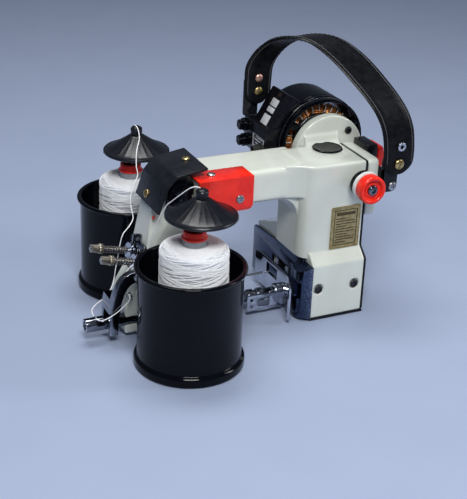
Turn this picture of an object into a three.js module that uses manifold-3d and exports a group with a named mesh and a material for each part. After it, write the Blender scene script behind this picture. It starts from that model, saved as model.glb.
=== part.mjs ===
// Portable bag closer: a C-shaped sewing machine that stitches sack mouths shut.
// The sack mouth stands upright and passes from front (-Y) to back (+Y) through
// the slit between the presser foot and the throat plate.  Millimetres, +Z up.
// X runs from the sewing head to the column, Y from front to back.
import * as THREE from 'three';
import { mergeVertices } from 'three/addons/utils/BufferGeometryUtils.js';
import Module from 'manifold-3d';

const wasm = await Module();
wasm.setup();

// ---------------------------------------------------------------- driving sizes
const GAP = 0.3; // air between two pieces that touch
const CENTRE_X = 39.05; // middle of the machine in the layout below
const MID_Y = 81; // plane half way between the two thread pots

const ARM = { x0: -20, x1: 100, y0: 42, y1: 100, z0: 127, z1: 160 };
const COLUMN = { x0: 90, x1: 157, y0: 31, y1: 88, z1: 161 };
const BASE = { x0: 98.3, x1: 157, y0: 20, y1: 144, z0: 2.3, z1: 60, shoulder: 70 };
const WALL = 7; // casting wall
const PAD_Y = 36; // front of the pad under the arm cover
const AXIS_X = 148; // motor and hand wheel axes lie above one another
const MOTOR_Z = 155;
const WHEEL_Z = 141.4;
const GEAR_R = 9.2;
const PINION_R = 4.1;
const MAIN_Y = 68; // main shaft in the arm
const BEVEL_R = 9;
const LOWER_X = 126; // upright shaft that drives the looper and feed
const FLANGE = { r: 39, x: 149, z: 148.5, y0: 93, y1: 104 };
const PLUG = { x: 136, y: 74, r: 15.4, stem: 8 };
const MOTOR = { r: 47, wall: 3, y0: 113, y1: 172 };
const SEAM = 1.5; // black side plate
const COVER = { x1: 171, z0: 101 };

const LEG = { y0: 55, y1: 97, foot: 4, footTop: 46 };
const LEG_TOP = { x: -55, z: 124 }; // top and bottom of the leg's leaning tension face
const LEG_KNEE = { x: -67, z: 70 };
const LEG_LEAN = Math.atan2(LEG_TOP.x - LEG_KNEE.x, LEG_TOP.z - LEG_KNEE.z);
const LIFTER = { x: -76, z: 67.5, r: 6.2 }; // pivot and boss of the lifter lever
const BAR = { y: 60, z: 18, r: 5.5, x0: -125.3, x1: 83 };
const NEEDLE = { y: 82, z: 30, r: 4 };

const POT = { r: 49, rim: 52.3, wall: 1.5, h: 100, foot: 10, floor: 3 };
const POTS = [
  { name: 'front', x: -45, y: -6, axis: -38 },
  { name: 'rear', x: -41, y: 168, axis: -34 },
];
const SPOOL = { r0: 33.5, r1: 32, z0: 6, z1: 120 };
const HAT = { r: 33.5, z0: 145.5, neck: 164, knob: 5.9, top: 172.5 };

const STRAP = { w: 30, t: 3.2, rise: 0.669, y0: 158, x0: 97 };
const strapX = (y) => STRAP.x0 + (STRAP.y0 - y) * STRAP.rise;

// ---------------------------------------------------------------- materials
function finish(color, roughness, metalness) {
  return () => new THREE.MeshStandardMaterial({ color, roughness, metalness });
}
const enamel = finish(0xdfe3d8, 0.25, 0);
const black = finish(0x14151a, 0.35, 0.1);
const gloss = finish(0x0a0b12, 0.12, 0);
const red = finish(0xe0201a, 0.35, 0);
const chrome = finish(0xc9ccd4, 0.1, 1);
const steel = finish(0x9a9ca2, 0.3, 1);
const brass = finish(0xc0a060, 0.3, 1);
const copper = finish(0xa8602c, 0.4, 0.8);
const leather = finish(0x17161a, 0.5, 0);
const thread = finish(0xf2f2ee, 0.8, 0);

// ---------------------------------------------------------------- shape helpers
/** A closed geometry as a manifold solid. */
function solid(geometry) {
  const g = geometry.index ? geometry.toNonIndexed() : geometry.clone();
  g.deleteAttribute('normal');
  g.deleteAttribute('uv');
  const m = mergeVertices(g, 1e-4);
  return new wasm.Manifold(new wasm.Mesh({
    numProp: 3,
    vertProperties: new Float32Array(m.attributes.position.array),
    triVerts: new Uint32Array(m.index.array),
  }));
}

/** A manifold solid as a three.js geometry. */
function geometryOf(body) {
  const mesh = body.getMesh();
  const g = new THREE.BufferGeometry();
  g.setAttribute('position', new THREE.BufferAttribute(mesh.vertProperties, 3));
  g.setIndex(new THREE.BufferAttribute(mesh.triVerts, 1));
  g.computeVertexNormals();
  return g;
}

const join = (...bodies) => bodies.reduce((a, b) => a.add(b));
const cut = (body, ...tools) => tools.reduce((a, b) => a.subtract(b), body);

function block(x0, x1, y0, y1, z0, z1) {
  const g = new THREE.BoxGeometry(x1 - x0, y1 - y0, z1 - z0);
  return solid(g.translate((x0 + x1) / 2, (y0 + y1) / 2, (z0 + z1) / 2));
}

function outline(points) {
  return new THREE.Shape(points.map(([a, b]) => new THREE.Vector2(a, b)));
}

function extruded(shape, depth, curveSegments = 6) {
  return new THREE.ExtrudeGeometry(shape, { depth, bevelEnabled: false, curveSegments });
}

/** Outline in X, Z pushed along Y from y0 to y1. */
function prismY(shape, y0, y1) {
  const g = extruded(shape, y1 - y0);
  return solid(g.rotateX(Math.PI / 2).translate(0, y1, 0));
}

/** Outline in Y, Z pushed along X from x0 to x1. */
function prismX(shape, x0, x1) {
  const g = extruded(shape, x1 - x0);
  const standUp = new THREE.Matrix4().set(0, 0, 1, x0, 1, 0, 0, 0, 0, 1, 0, 0, 0, 0, 0, 1);
  return solid(g.applyMatrix4(standUp));
}

/** Outline in X, Y pushed up from z0 to z1. */
function prismZ(shape, z0, z1) {
  return solid(extruded(shape, z1 - z0).translate(0, 0, z0));
}

/** Round rod along 'x', 'y' or 'z' from a to b; u and v are its other two places. */
function rod(along, a, b, u, v, r, sides = 24, rEnd = r) {
  const g = new THREE.CylinderGeometry(rEnd, r, b - a, sides);
  g.rotateX(Math.PI / 2);
  const mid = (a + b) / 2;
  if (along === 'x') return solid(g.rotateY(Math.PI / 2).translate(mid, u, v));
  if (along === 'y') return solid(g.rotateX(-Math.PI / 2).translate(u, mid, v));
  return solid(g.translate(u, v, mid));
}

/** Turned body along 'x', 'y' or 'z'; profile is [radius, place along it], u and v as in rod. */
function turned(along, profile, u, v, sides = 28) {
  const points = profile.map(([r, d]) => new THREE.Vector2(r, d));
  const g = new THREE.LatheGeometry(points, sides);
  if (along === 'x') return solid(g.rotateZ(-Math.PI / 2).translate(0, u, v));
  if (along === 'y') return solid(g.translate(u, 0, v));
  return solid(g.rotateX(Math.PI / 2).translate(u, v, 0));
}

/** Stepped shaft: each step is [from, to, radius], in order. */
function shaft(along, steps, u, v, sides = 20) {
  const profile = steps.flatMap(([a, b, r]) => [[r, a], [r, b]]);
  const first = steps[0][0];
  const last = steps[steps.length - 1][1];
  return turned(along, [[0, first], ...profile, [0, last]], u, v, sides);
}

const machine = new THREE.Group();
const layout = new THREE.Group();
layout.position.set(-CENTRE_X, -MID_Y, 0);
machine.add(layout);

function place(name, body, material, parent = layout) {
  const geometry = body.isBufferGeometry ? body : geometryOf(body);
  const mesh = new THREE.Mesh(geometry, material());
  mesh.name = name;
  parent.add(mesh);
  return mesh;
}

/** Screw head with a slot or a hex socket, its face looking along -Y at y. */
function screwHead(r, depth, y, x, z, shank) {
  const steps = [[y, y + depth, r]];
  if (shank > 0) steps.push([y + depth, y + depth + shank, r / 2]);
  const slot = block(x - r, x + r, y - 1, y + depth * 0.4, z - 0.5, z + 0.5);
  return cut(shaft('y', steps, x, z, 16), slot);
}

// ---------------------------------------------------------------- frame casting
function armBody() {
  const a = ARM;
  const c = 3; // rounded long edges
  const section = outline([
    [a.y0 + c, a.z0], [a.y1 - c, a.z0], [a.y1, a.z0 + c], [a.y1, a.z1 - c],
    [a.y1 - c, a.z1], [a.y0 + c, a.z1], [a.y0 + 0.9, a.z1 - 0.9], [a.y0, a.z1 - c], [a.y0, a.z0 + c],
  ]);
  return prismX(section, a.x0, a.x1);
}

function columnBody() {
  const c = COLUMN;
  const r = 15;
  const plan = new THREE.Shape();
  plan.moveTo(c.x1, c.y0);
  plan.lineTo(c.x1, c.y1);
  plan.lineTo(c.x0, c.y1);
  plan.lineTo(c.x0, c.y0 + r);
  plan.absarc(c.x0 + r, c.y0 + r, r, Math.PI, 1.5 * Math.PI, false);
  const body = prismZ(plan, BASE.z1 - 5, c.z1);
  const topFillet = prismX(outline([
    [c.y0 - 1, c.z1 + 1], [c.y0 - 1, c.z1 - 2], [c.y0, c.z1 - 2], [c.y0 + 2, c.z1], [c.y0 + 2, c.z1 + 1],
  ]), c.x0 - 1, c.x1 + 1);
  return cut(body, topFillet);
}

/** Web that blends the arm's underside into the column's left side. */
function cornerWeb() {
  const r = 22;
  const s = new THREE.Shape();
  s.moveTo(COLUMN.x0 + 1, ARM.z0 + 1);
  s.lineTo(COLUMN.x0 - r, ARM.z0 + 1);
  s.absarc(COLUMN.x0 - r, ARM.z0 - r, r, Math.PI / 2, 0, true);
  s.lineTo(COLUMN.x0 + 1, ARM.z0 - r);
  return prismY(s, COLUMN.y0 + 11, COLUMN.y1);
}

function baseBody() {
  const b = BASE;
  const c = COLUMN;
  const lower = block(b.x0, b.x1, b.y0, b.y1, b.z0, b.z1);
  const slope = prismX(outline([
    [b.y0, b.z1 - 0.1], [b.y1, b.z1 - 0.1], [c.y1 + 12, b.shoulder + 6], [c.y0, b.shoulder],
  ]), b.x0, b.x1);
  return join(lower, slope);
}

function flangeBody() {
  const disc = rod('y', FLANGE.y0, FLANGE.y1, FLANGE.x, FLANGE.z, FLANGE.r, 48);
  const neck = prismX(outline([
    [90, COLUMN.z1 - 1], [94, COLUMN.z1 - 1], [94, 172], [92, 171], [90, 164],
  ]), AXIS_X - 27, AXIS_X + 9);
  const side = block(AXIS_X - 30, COLUMN.x1, 86, 94, 100, COLUMN.z1);
  return join(disc, neck, side);
}

function casting() {
  const shell = join(armBody(), columnBody(), cornerWeb(), baseBody(), flangeBody(),
    block(-12, 26, PAD_Y, ARM.y0 + 1, 134, 156)); // pad that carries the arm cover
  const armHollow = block(ARM.x0 - 1, COLUMN.x0 + 9, 50, 92, 134, 154);
  const columnHollow = block(COLUMN.x0 + 8, COLUMN.x1 + 1, 39, 84.5, BASE.z0 + 8, 155);
  const underhang = block(COLUMN.x0 - 1, BASE.x0, 20, 120, 50, BASE.z1 + 3.5);
  const baseHollow = block(BASE.x0 + WALL, BASE.x1 + 1, 28, 136, BASE.z0 + 7, 52);
  const feedSlot = block(BASE.x0 - 1, BASE.x0 + WALL + 1, 62, 104, 22, 42);
  const motorBore = rod('y', 60, 106, AXIS_X, MOTOR_Z, PINION_R + 0.9, 20);
  const wheelBore = rod('y', 30, 41, AXIS_X, WHEEL_Z, 3.6, 24);
  const plugSeat = rod('z', COLUMN.z1 - 9, COLUMN.z1 + 1, PLUG.x, PLUG.y, PLUG.stem + 0.4, 24);
  const trimRight = block(COLUMN.x1, 200, 0, FLANGE.y0, -1, 240);
  return cut(shell, armHollow, columnHollow, baseHollow, underhang, feedSlot,
    motorBore, wheelBore, plugSeat, trimRight);
}
place('frame_casting', casting(), enamel);

// Black plate on the column's right side, and the cream end cover outside it.
{
  const x0 = COLUMN.x1 + GAP;
  const x1 = x0 + SEAM;
  const plan = outline([
    [20, BASE.z0], [144, BASE.z0], [144, BASE.z1], [100, 76], [89, 76],
    [89, COLUMN.z1], [31, COLUMN.z1], [31, BASE.shoulder], [20, BASE.z1],
  ]);
  place('column_side_plate', prismX(plan, x0, x1), black);

  const c0 = x1 + GAP;
  const face = new THREE.Shape();
  face.moveTo(36, COVER.z0);
  face.lineTo(83, COVER.z0);
  face.absarc(83, COVER.z0 + 5, 5, -Math.PI / 2, 0, false);
  face.lineTo(88, COLUMN.z1 - 5);
  face.absarc(83, COLUMN.z1 - 5, 5, 0, Math.PI / 2, false);
  face.lineTo(36, COLUMN.z1);
  face.absarc(36, COLUMN.z1 - 5, 5, Math.PI / 2, Math.PI, false);
  face.lineTo(31, COVER.z0 + 5);
  face.absarc(36, COVER.z0 + 5, 5, Math.PI, 1.5 * Math.PI, false);
  place('end_cover', prismX(face, c0, COVER.x1), enamel);
}

place('base_plate', block(BASE.x0 - 0.5, BASE.x1 + 1.8, BASE.y0 - 0.5, BASE.y1 + 0.5, 0, BASE.z0 - GAP), black);
place('nameplate', block(120.5, 153.5, COLUMN.y0 - 1.1, COLUMN.y0 - GAP, 71, 116), brass);
{
  const z = COLUMN.z1 + GAP;
  const cap = rod('z', z, z + 2, PLUG.x, PLUG.y, PLUG.r, 36, PLUG.r - 1.5);
  place('oil_plug', join(cap, rod('z', z - 8, z + 1, PLUG.x, PLUG.y, PLUG.stem, 20)), gloss);
}

// Red sheet cover on the front of the arm, with its two screws.
{
  const t = 1.5;
  const top = ARM.z1 + GAP;
  const front = 31.5;
  const left = -22;
  const right = 34;
  const bottom = 128;
  const panel = new THREE.Shape();
  panel.moveTo(left, top + t);
  panel.lineTo(left, bottom + 6);
  panel.lineTo(left + 4, bottom);
  panel.lineTo(right - 5, bottom);
  panel.absarc(right - 5, bottom + 5, 5, -Math.PI / 2, 0, false);
  panel.lineTo(right, top + t);
  const topScrew = { x: -4, y: 46 };
  const frontScrew = { x: 20, z: 140 };
  const topHole = rod('z', top - 1, top + t + 1, topScrew.x, topScrew.y, 2.4, 12);
  const frontHole = rod('y', front - 1, front + t + 1, frontScrew.x, frontScrew.z, 2.4, 12);
  const sheet = join(
    prismY(panel, front, front + t),
    block(left, right, front, 58, top, top + t),
    block(right - t, right, front, 41.7, 140, top + t),
  );
  place('arm_cover', cut(sheet, topHole, frontHole), red);
  const z = top + t;
  const head = [[0, top + GAP], [2, top + GAP], [2, z + GAP], [4.2, z + GAP], [3.4, z + 2.2], [0, z + 2.4]];
  place('arm_cover_screw_top', turned('z', head, topScrew.x, topScrew.y, 16), chrome);
  place('arm_cover_screw_front', screwHead(4, 2, front - GAP - 2, frontScrew.x, frontScrew.z, 4.4), chrome);
}

// ---------------------------------------------------------------- sewing head
const headX = ARM.x0 - GAP;
{
  const leg = new THREE.Shape();
  leg.moveTo(headX, 98);
  leg.lineTo(headX, ARM.z1);
  leg.lineTo(-40, ARM.z1);
  leg.lineTo(LEG_TOP.x, 128);
  leg.lineTo(LEG_TOP.x, LEG_TOP.z);
  leg.lineTo(LEG_KNEE.x, LEG_KNEE.z);
  leg.lineTo(-84, 40);
  leg.lineTo(-86, 35);
  leg.lineTo(-86, LEG.foot);
  leg.lineTo(25, LEG.foot);
  leg.lineTo(25, LEG.footTop);
  leg.lineTo(-28, LEG.footTop);
  leg.absarc(-28, LEG.footTop + 12, 12, -Math.PI / 2, -Math.PI, true);
  leg.lineTo(-40, 76);
  const body = prismY(leg, LEG.y0, LEG.y1);
  const potLug = (y0, y1, x) => block(x - 14, x + 14, y0, y1, 14, 32);
  const pivotLug = join(
    rod('y', LEG.y0, LEG.y0 + 3, LIFTER.x, LIFTER.z, 5.5, 20),
    prismY(outline([[-77, 62.2], [-64, 58], [-64, 76], [-75, 72.8]]), LEG.y0, LEG.y0 + 3),
  );
  const crankRoom = block(-50, headX + 1, 64, 91, 98, 154);
  const rockerRoom = join(
    block(-72, -35, 72, 92, 12, 62), block(-61.2, -42.8, 72, 92, 61, 81),
    block(-59.2, -40, 72, 92, 80, 94), block(-54.5, -30, 72, 91, 93, 118),
  );
  const needleRoom = block(-48, 12, 74, 90, 20, 40);
  const barBore = rod('x', -90, 30, BAR.y, BAR.z, BAR.r + 0.4, 24);
  const needleBore = rod('x', 0, 30, NEEDLE.y, NEEDLE.z, NEEDLE.r + 0.4, 24);
  const shaftBore = rod('x', -46, headX + 1, MAIN_Y, WHEEL_Z, 11.5, 24);
  const [front, rear] = POTS;
  place('head_leg', cut(
    join(
      body, pivotLug,
      potLug(front.y + POT.r + 0.6, LEG.y0 + 1, front.x), potLug(LEG.y1 - 1, rear.y - POT.r - 0.6, rear.x),
    ),
    crankRoom, rockerRoom, needleRoom, barBore, needleBore, shaftBore,
  ), enamel);
}

// Folded black cover over the head: an open sheet with a slanted left side.
{
  const t = 2;
  const line = [[-9, 171], [-40, 166], [-50, 156], [-59, 131]];
  const inner = [[-59 + t + 0.4, 131], [-48, 154.6], [-39, 164], [-9, 168.8]];
  const sheet = prismY(outline([...line, ...inner]), LEG.y0 - 13, 100);
  const rib = prismY(outline([[-40, 161.8], [-38, 165], [-22, 168], [-22, 161.8]]), 60, 96);
  place('head_cover', join(sheet, rib), black);
  place('head_cover_screw', rod('z', 170.6, 172.8, -18, 72, 4, 16), brass);
}
{
  const body = cut(
    prismY(outline([[-46, 131], [-24, 131], [-24, 158], [-41, 158], [-47, 148]]), 43, LEG.y0 - GAP),
    rod('y', 40, 48, -32, 151, 4, 14),
  );
  const boss = rod('y', 40, 45, -34, 139, 6, 16);
  place('head_bearing_block', join(body, boss), gloss);
}

// ---------------------------------------------------------------- throat plate
{
  const x1 = BASE.x0 - GAP;
  const x0 = x1 - 2.4;
  const side = outline([[36, 2.5], [148, 2.5], [148, 54], [36, 62]]);
  const slot = block(x0 - 1, x1 + 1, 64, 102, 24, 40);
  const lip = new THREE.Shape();
  lip.moveTo(x1, 18);
  lip.lineTo(x1, 40);
  lip.lineTo(x0, 44);
  lip.absarc(x0 + 4, 33, 14, 0.62 * Math.PI, 1.32 * Math.PI, false);
  const lipCut = prismY(outline([[70, 47], [x1, 61], [x1 + 2, 70], [70, 70]]), 10, 60);
  place('throat_plate', cut(join(prismX(side, x0, x1), cut(prismZ(lip, 2.5, 60), lipCut)), slot), chrome);
}
place('base_screw', screwHead(4.2, 2, BASE.y0 - GAP - 2, 106, 34, 0), steel);

// ---------------------------------------------------------------- thread pots and spools
for (const p of POTS) {
  const w = POT.wall;
  const profile = [
    [0, 0], [POT.rim - 1, 0], [POT.rim, 1], [POT.rim, POT.foot - 2],
    [POT.rim - 1, POT.foot - 0.6], [POT.r, POT.foot],
    [POT.r, POT.h - 4], [POT.rim, POT.h - 3.2], [POT.rim, POT.h - 0.6], [POT.rim - 1, POT.h],
    [POT.r - w, POT.h], [POT.r - w, POT.floor], [0, POT.floor],
  ];
  place(`${p.name}_thread_pot`, turned('z', profile, p.x, p.y, 40), gloss);

  const top = HAT.z0 + 12;
  const spindle = [
    [0, POT.floor + GAP], [14, POT.floor + GAP], [14, POT.floor + 2], [3, POT.floor + 2.4], [3, top], [0, top],
  ];
  place(`${p.name}_spindle`, turned('z', spindle, p.axis, p.y, 12), steel);

  const s = SPOOL;
  const cone = [
    [3.4, s.z0], [s.r0, s.z0], [s.r1 + 0.5, s.z1 - 7], [s.r1 - 1, s.z1 - 2.4],
    [s.r1 - 5, s.z1], [12.2, s.z1 + 1], [12, s.z1 + 8], [10.4, s.z1 + 14], [3.4, s.z1 + 14],
  ];
  place(`${p.name}_thread_cone`, turned('z', [...cone, cone[0]], p.axis, p.y, 24), thread);

  const hat = [
    [3.4, HAT.z0], [HAT.r - 0.6, HAT.z0], [HAT.r, HAT.z0 + 0.6],
    [HAT.r, HAT.z0 + 2.2], [HAT.r - 1.6, HAT.z0 + 3.2],
    [7.5, HAT.neck - 0.6], [4.6, HAT.neck], [4.6, HAT.neck + 1.8], [HAT.knob, HAT.neck + 2.2],
    [HAT.knob, HAT.top - 0.8], [HAT.knob - 0.8, HAT.top], [0, HAT.top], [0, top + 1], [3.4, top + 1],
  ];
  place(`${p.name}_hat`, turned('z', [...hat, hat[0]], p.axis, p.y, 24), gloss);
}

// ---------------------------------------------------------------- tension units
// Posts stand square to the leaning outer face of the leg, pointing left and up.
const TENSION = [
  { name: 'rear', y: 83, z: -2.5, reach: 44.2, turns: 9 },
  { name: 'front', y: 66, z: -7.1, reach: 38.5, turns: 7 },
];
const TENSION_Z = 80; // height at which the units' group sits on the leaning face
const DISC = { r: 7.8, depth: 3.2 };
const SPRING = { r: 3.2, wire: 0.55 };
const NUT_LENGTH = 12;
{
  const group = new THREE.Group();
  group.position.set(LEG_TOP.x - (LEG_TOP.z - TENSION_Z) * Math.tan(LEG_LEAN), 0, TENSION_Z);
  group.rotation.y = LEG_LEAN;
  layout.add(group);
  const plate = block(-3, -GAP, 58, 94, -9.5, 12);
  const ear = block(-11, -2, 70, 72, 8, 20);
  const eye = rod('y', 69, 73, -6.5, 15, 1.6, 10);
  place('tension_bracket', cut(join(plate, ear), eye), steel, group);
  const base = -3 - GAP;
  for (const t of TENSION) {
    const end = base - t.reach;
    const post = shaft('x', [[end, base - 1.2, 1.8], [base - 1.2, base, 3]], t.y, t.z, 12);
    place(`${t.name}_tension_post`, post, steel, group);
    const d = base - 1.5 - DISC.depth;
    const r = DISC.r;
    const discs = [
      [2.1, d], [r, d], [r, d + 0.8], [r / 2, d + 1.6], [r, d + 2.4],
      [r, d + DISC.depth], [2.1, d + DISC.depth], [2.1, d],
    ];
    place(`${t.name}_tension_discs`, turned('x', discs, t.y, t.z, 20), chrome, group);
    const nutFoot = end + 1.2 + NUT_LENGTH;
    const from = d - GAP - SPRING.wire;
    const length = from - nutFoot - GAP - SPRING.wire;
    class Coil extends THREE.Curve {
      getPoint(u, target = new THREE.Vector3()) {
        const w = u * t.turns * 2 * Math.PI;
        return target.set(from - u * length, t.y + SPRING.r * Math.cos(w), t.z + SPRING.r * Math.sin(w));
      }
    }
    const wire = new THREE.Shape();
    wire.absarc(0, 0, SPRING.wire, 0, 2 * Math.PI, false);
    const spring = new THREE.ExtrudeGeometry(wire, {
      extrudePath: new Coil(), steps: t.turns * 8, bevelEnabled: false, curveSegments: 2,
    });
    place(`${t.name}_tension_spring`, spring, steel, group);
    const nutEnd = nutFoot - NUT_LENGTH;
    const nut = [
      [2.1, nutEnd], [3.8, nutEnd], [4.4, nutFoot - 4], [4.9, nutFoot - 4],
      [4.9, nutFoot], [2.1, nutFoot], [2.1, nutEnd],
    ];
    place(`${t.name}_tension_nut`, turned('x', nut, t.y, t.z, 12), brass, group);
  }
}

// ---------------------------------------------------------------- presser and lifter
{
  const s = new THREE.Shape();
  s.moveTo(-79, 62);
  s.bezierCurveTo(-90, 60, -95, 40, -96, 9);
  s.lineTo(-104, 9);
  s.bezierCurveTo(-105, 47, -98, 72, -79, 73);
  s.absarc(LIFTER.x, LIFTER.z, LIFTER.r, 0.65 * Math.PI, -0.65 * Math.PI, true);
  const y0 = LEG.y0 - 8.5;
  const fork = cut(prismY(s, y0, BAR.y + 13), block(-120, -60, 0, 120, 45, 100));
  const lever = cut(
    join(prismY(s, y0, LEG.y0 - 0.4), fork),
    block(-110, -83, BAR.y - 6.2, BAR.y + 6.2, 0, 30),
    rod('y', 40, 80, LIFTER.x, LIFTER.z, 2.3, 12),
  );
  place('lifter_lever', lever, chrome);
  const screw = [[44, y0 - GAP, 4.5], [y0 - GAP, LEG.y0 - GAP, 2]];
  place('lifter_pivot_screw', shaft('y', screw, LIFTER.x, LIFTER.z, 14), steel);
}
{
  const b = BAR;
  const collar = 7;
  const bar = shaft('x', [
    [b.x0, -116, b.r], [-116, -107, collar], [-107, 46, b.r], [46, 52, collar], [52, 57, b.r],
    [57, 63, collar], [63, b.x1 - 2, b.r],
  ], b.y, b.z, 24);
  const split = block(b.x0 - 1, b.x0 + 18, b.y - 1, b.y + 1, b.z - 8, b.z + 8);
  const mouth = rod('x', b.x0 - 1, b.x0 + 9, b.y, b.z, 3, 16);
  place('presser_bar', cut(bar, split, mouth), chrome);
}
{
  const x0 = BAR.x1;
  const sole = new THREE.Shape();
  sole.moveTo(x0 - 8, 20);
  sole.quadraticCurveTo(x0 + 4, 38, x0 + 5, 52);
  sole.lineTo(x0 + 5, 108);
  sole.lineTo(x0 + 1, 116);
  sole.lineTo(x0 - 1, 115);
  sole.lineTo(x0 + 1.8, 107);
  sole.lineTo(x0 + 1.8, 52);
  sole.quadraticCurveTo(x0 + 1, 40, x0 - 10.5, 22);
  const plate = prismZ(sole, 5, 40);
  const needleHole = block(x0, x0 + 7, NEEDLE.y - 12, NEEDLE.y + 12, NEEDLE.z - 6, NEEDLE.z + 6);
  const hub = rod('x', x0 - 8, x0 + 3, BAR.y, BAR.z, 8.5, 24);
  const arm = block(42, x0, 49.5, 51.5, 6, 23);
  const armLink = block(70, x0 - 1, 50, BAR.y, 8, 22);
  const holes = [12, 18].map((z) => rod('y', 48, 53, 47, z, 1.5, 12));
  const window = block(53, 67, 48, 53, 10, 19);
  const socket = rod('x', x0 - 14, x0 - 2 + GAP, BAR.y, BAR.z, BAR.r + 0.3, 28);
  place('presser_foot', cut(join(plate, hub, arm, armLink), needleHole, window, socket, ...holes), chrome);
}

// ---------------------------------------------------------------- needle drive
const ROCKER = { x: -52, z: 85, y0: 77, y1: 87 };
{
  const bar = join(
    shaft('x', [[-42, 40, NEEDLE.r], [40, 51, 5.5], [51, 78, 1.1], [78, 84, 0.3]], NEEDLE.y, NEEDLE.z, 16),
    block(-47.5, -40, NEEDLE.y - 4, NEEDLE.y + 4, NEEDLE.z - 6, NEEDLE.z + 6),
  );
  place('needle_bar', bar, steel);
  const lever = join(
    prismY(outline([[-55, 85], [-49, 85], [-50, 26], [-54, 26]]), ROCKER.y0, ROCKER.y1),
    prismY(outline([[-56, 84], [-48, 84], [-38, 112], [-43, 113]]), ROCKER.y0, ROCKER.y1),
    rod('y', ROCKER.y0, ROCKER.y1, ROCKER.x, ROCKER.z, 6, 20),
  );
  place('needle_rocker', lever, steel);
}
{
  const z = WHEEL_Z;
  const apex = AXIS_X - 0.4; // the bevel cones meet here, less their clearance
  const low = LOWER_X - 0.4;
  const profile = [
    [0, -32], [9.5, -32], [9.5, -28], [4, -28], [4, low - 14], [BEVEL_R, low - 14], [BEVEL_R, low - BEVEL_R],
    [5, low - 5], [4, low - 5], [4, 135], [BEVEL_R, 135], [BEVEL_R, apex - BEVEL_R],
    [5, apex - 5], [0, apex - 5],
  ];
  const body = join(turned('x', profile, MAIN_Y, z, 24), rod('x', -40, -31.9, MAIN_Y + 6, z, 2.5, 12));
  place('main_shaft', body, steel);
  place('arm_bush', cut(
    block(-12, -2, 50 + GAP, 92 - GAP, 134 + GAP, 154 - GAP),
    rod('x', -14, 0, MAIN_Y, z, 4.3, 24),
  ), brass);
}
{
  const x = AXIS_X;
  const z = WHEEL_Z;
  const apex = MAIN_Y - 0.4;
  place('wheel_shaft', turned('y', [
    [0, 3], [3.5, 3], [3.5, 13], [14.8, 13], [14.8, 17], [15.6, 17], [15.6, 24], [6, 24], [6, 30.4], [3.5, 30.4],
    [3.5, 55], [BEVEL_R, 55], [BEVEL_R, apex - BEVEL_R], [5, apex - 5], [3.5, apex - 5],
    [3.5, 79], [GEAR_R, 79], [GEAR_R, 84], [0, 84],
  ], x, z, 28), steel);
  const wheel = [
    [3.9, 2], [7, 2], [7, 5.5], [10.5, 5.5], [10, 1.6], [12.8, 1.2], [14.2, 2.6],
    [14.2, 11.5], [13.4, 12.6], [3.9, 12.6],
  ];
  place('hand_wheel', turned('y', [...wheel, wheel[0]], x, z, 32), red);
}
{
  const apex = WHEEL_Z - 0.4;
  place('lower_shaft', turned('z', [
    [0, 14], [12, 14], [12, 16], [4, 16], [4, apex - 14], [BEVEL_R, apex - 14], [BEVEL_R, apex - BEVEL_R],
    [5, apex - 5], [0, apex - 5],
  ], LOWER_X, MAIN_Y, 24), steel);
}
place('looper', join(
  block(106, 124, 78, 86, 27, 33),
  prismY(outline([[100, 30], [107, 27], [107, 33]]), 80, 84),
  rod('z', 20, 46, 118, 82, 4.5, 16),
), steel);
place('feed_dog', join(
  block(96.4, 106, 68, 74, 26, 38), block(96.4, 106, 90, 96, 26, 38), block(105, 108.5, 68, 96, 34.2, 38),
), steel);

// ---------------------------------------------------------------- motor
{
  const m = MOTOR;
  const y = m.y0;
  const inner = m.r - m.wall;
  const shell = [
    [inner, y], [m.r - 1, y], [m.r, y + 1], [m.r, y + 48], [m.r - 2, y + 53], [m.r - 8, y + 57.5], [22, y + 59],
    [10, y + 59], [10, y + 56], [m.r - 12, y + 55], [inner, y + 48], [inner, y],
  ];
  place('motor_housing', turned('y', shell, AXIS_X, MOTOR_Z, 40), gloss);
  const core = inner - GAP;
  const coils = [
    [27, y + 4], [36, y + 4], [40, y + 9], [core, y + 9],
    [core, y + 28], [40, y + 28], [36, y + 34], [27, y + 34],
  ];
  place('stator_winding', turned('y', [...coils, coils[0]], AXIS_X, MOTOR_Z, 28), copper);
  const arms = [0.35, 1.02, 1.68].map((turn) => {
    const g = new THREE.BoxGeometry(9, 7, m.r - 1.5).translate(0, 0, (m.r - 1.5) / 2);
    return solid(g.rotateY(turn * Math.PI).translate(AXIS_X, y - 4.6, MOTOR_Z));
  });
  const ring = [[m.r - 4, y - 8], [m.r - 1, y - 8], [m.r - 1, y - GAP], [m.r - 4, y - GAP], [m.r - 4, y - 8]];
  const spider = cut(
    join(
      ...arms,
      rod('y', FLANGE.y1 + GAP, y - GAP, AXIS_X, MOTOR_Z, 16, 24),
      turned('y', ring, AXIS_X, MOTOR_Z, 40),
    ),
    rod('y', 98, 115, AXIS_X, MOTOR_Z, 5.5, 16),
  );
  place('motor_front_bracket', spider, black);
  place('motor_rotor', shaft('y', [
    [66, 79, 3], [79, 84, PINION_R], [84, 118, 3], [118, 146, 26.3],
    [146, 150, 3], [150, 158, 14], [158, m.y1 + 2, 3],
  ], AXIS_X, MOTOR_Z, 24), steel);
}
// Terminal box on the motor's left flank: a slanted switch face over a square brush housing.
{
  const slanted = new THREE.BoxGeometry(27, 37, 52).translate(-43.5, 134.5, 0);
  const upper = solid(slanted.rotateY(Math.PI / 6).translate(AXIS_X, 0, MOTOR_Z));
  const lower = block(87, 112, 114, 166, 140, 173);
  const bore = rod('y', 110, 170, AXIS_X, MOTOR_Z, MOTOR.r + GAP, 48);
  place('terminal_box', cut(join(upper, lower), bore), black);
  place('brush_cap', shaft('x', [[78, 83, 5.5], [83, 87 - GAP, 6.8]], 160.5, 164, 18), gloss);
}
place('cord_gland', cut(
  shaft('x', [[76, 84, 4.5], [84, 87 - GAP, 6.5]], 122, 150, 16),
  rod('x', 74, 84, 122, 150, 3.4, 16),
), black);

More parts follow.
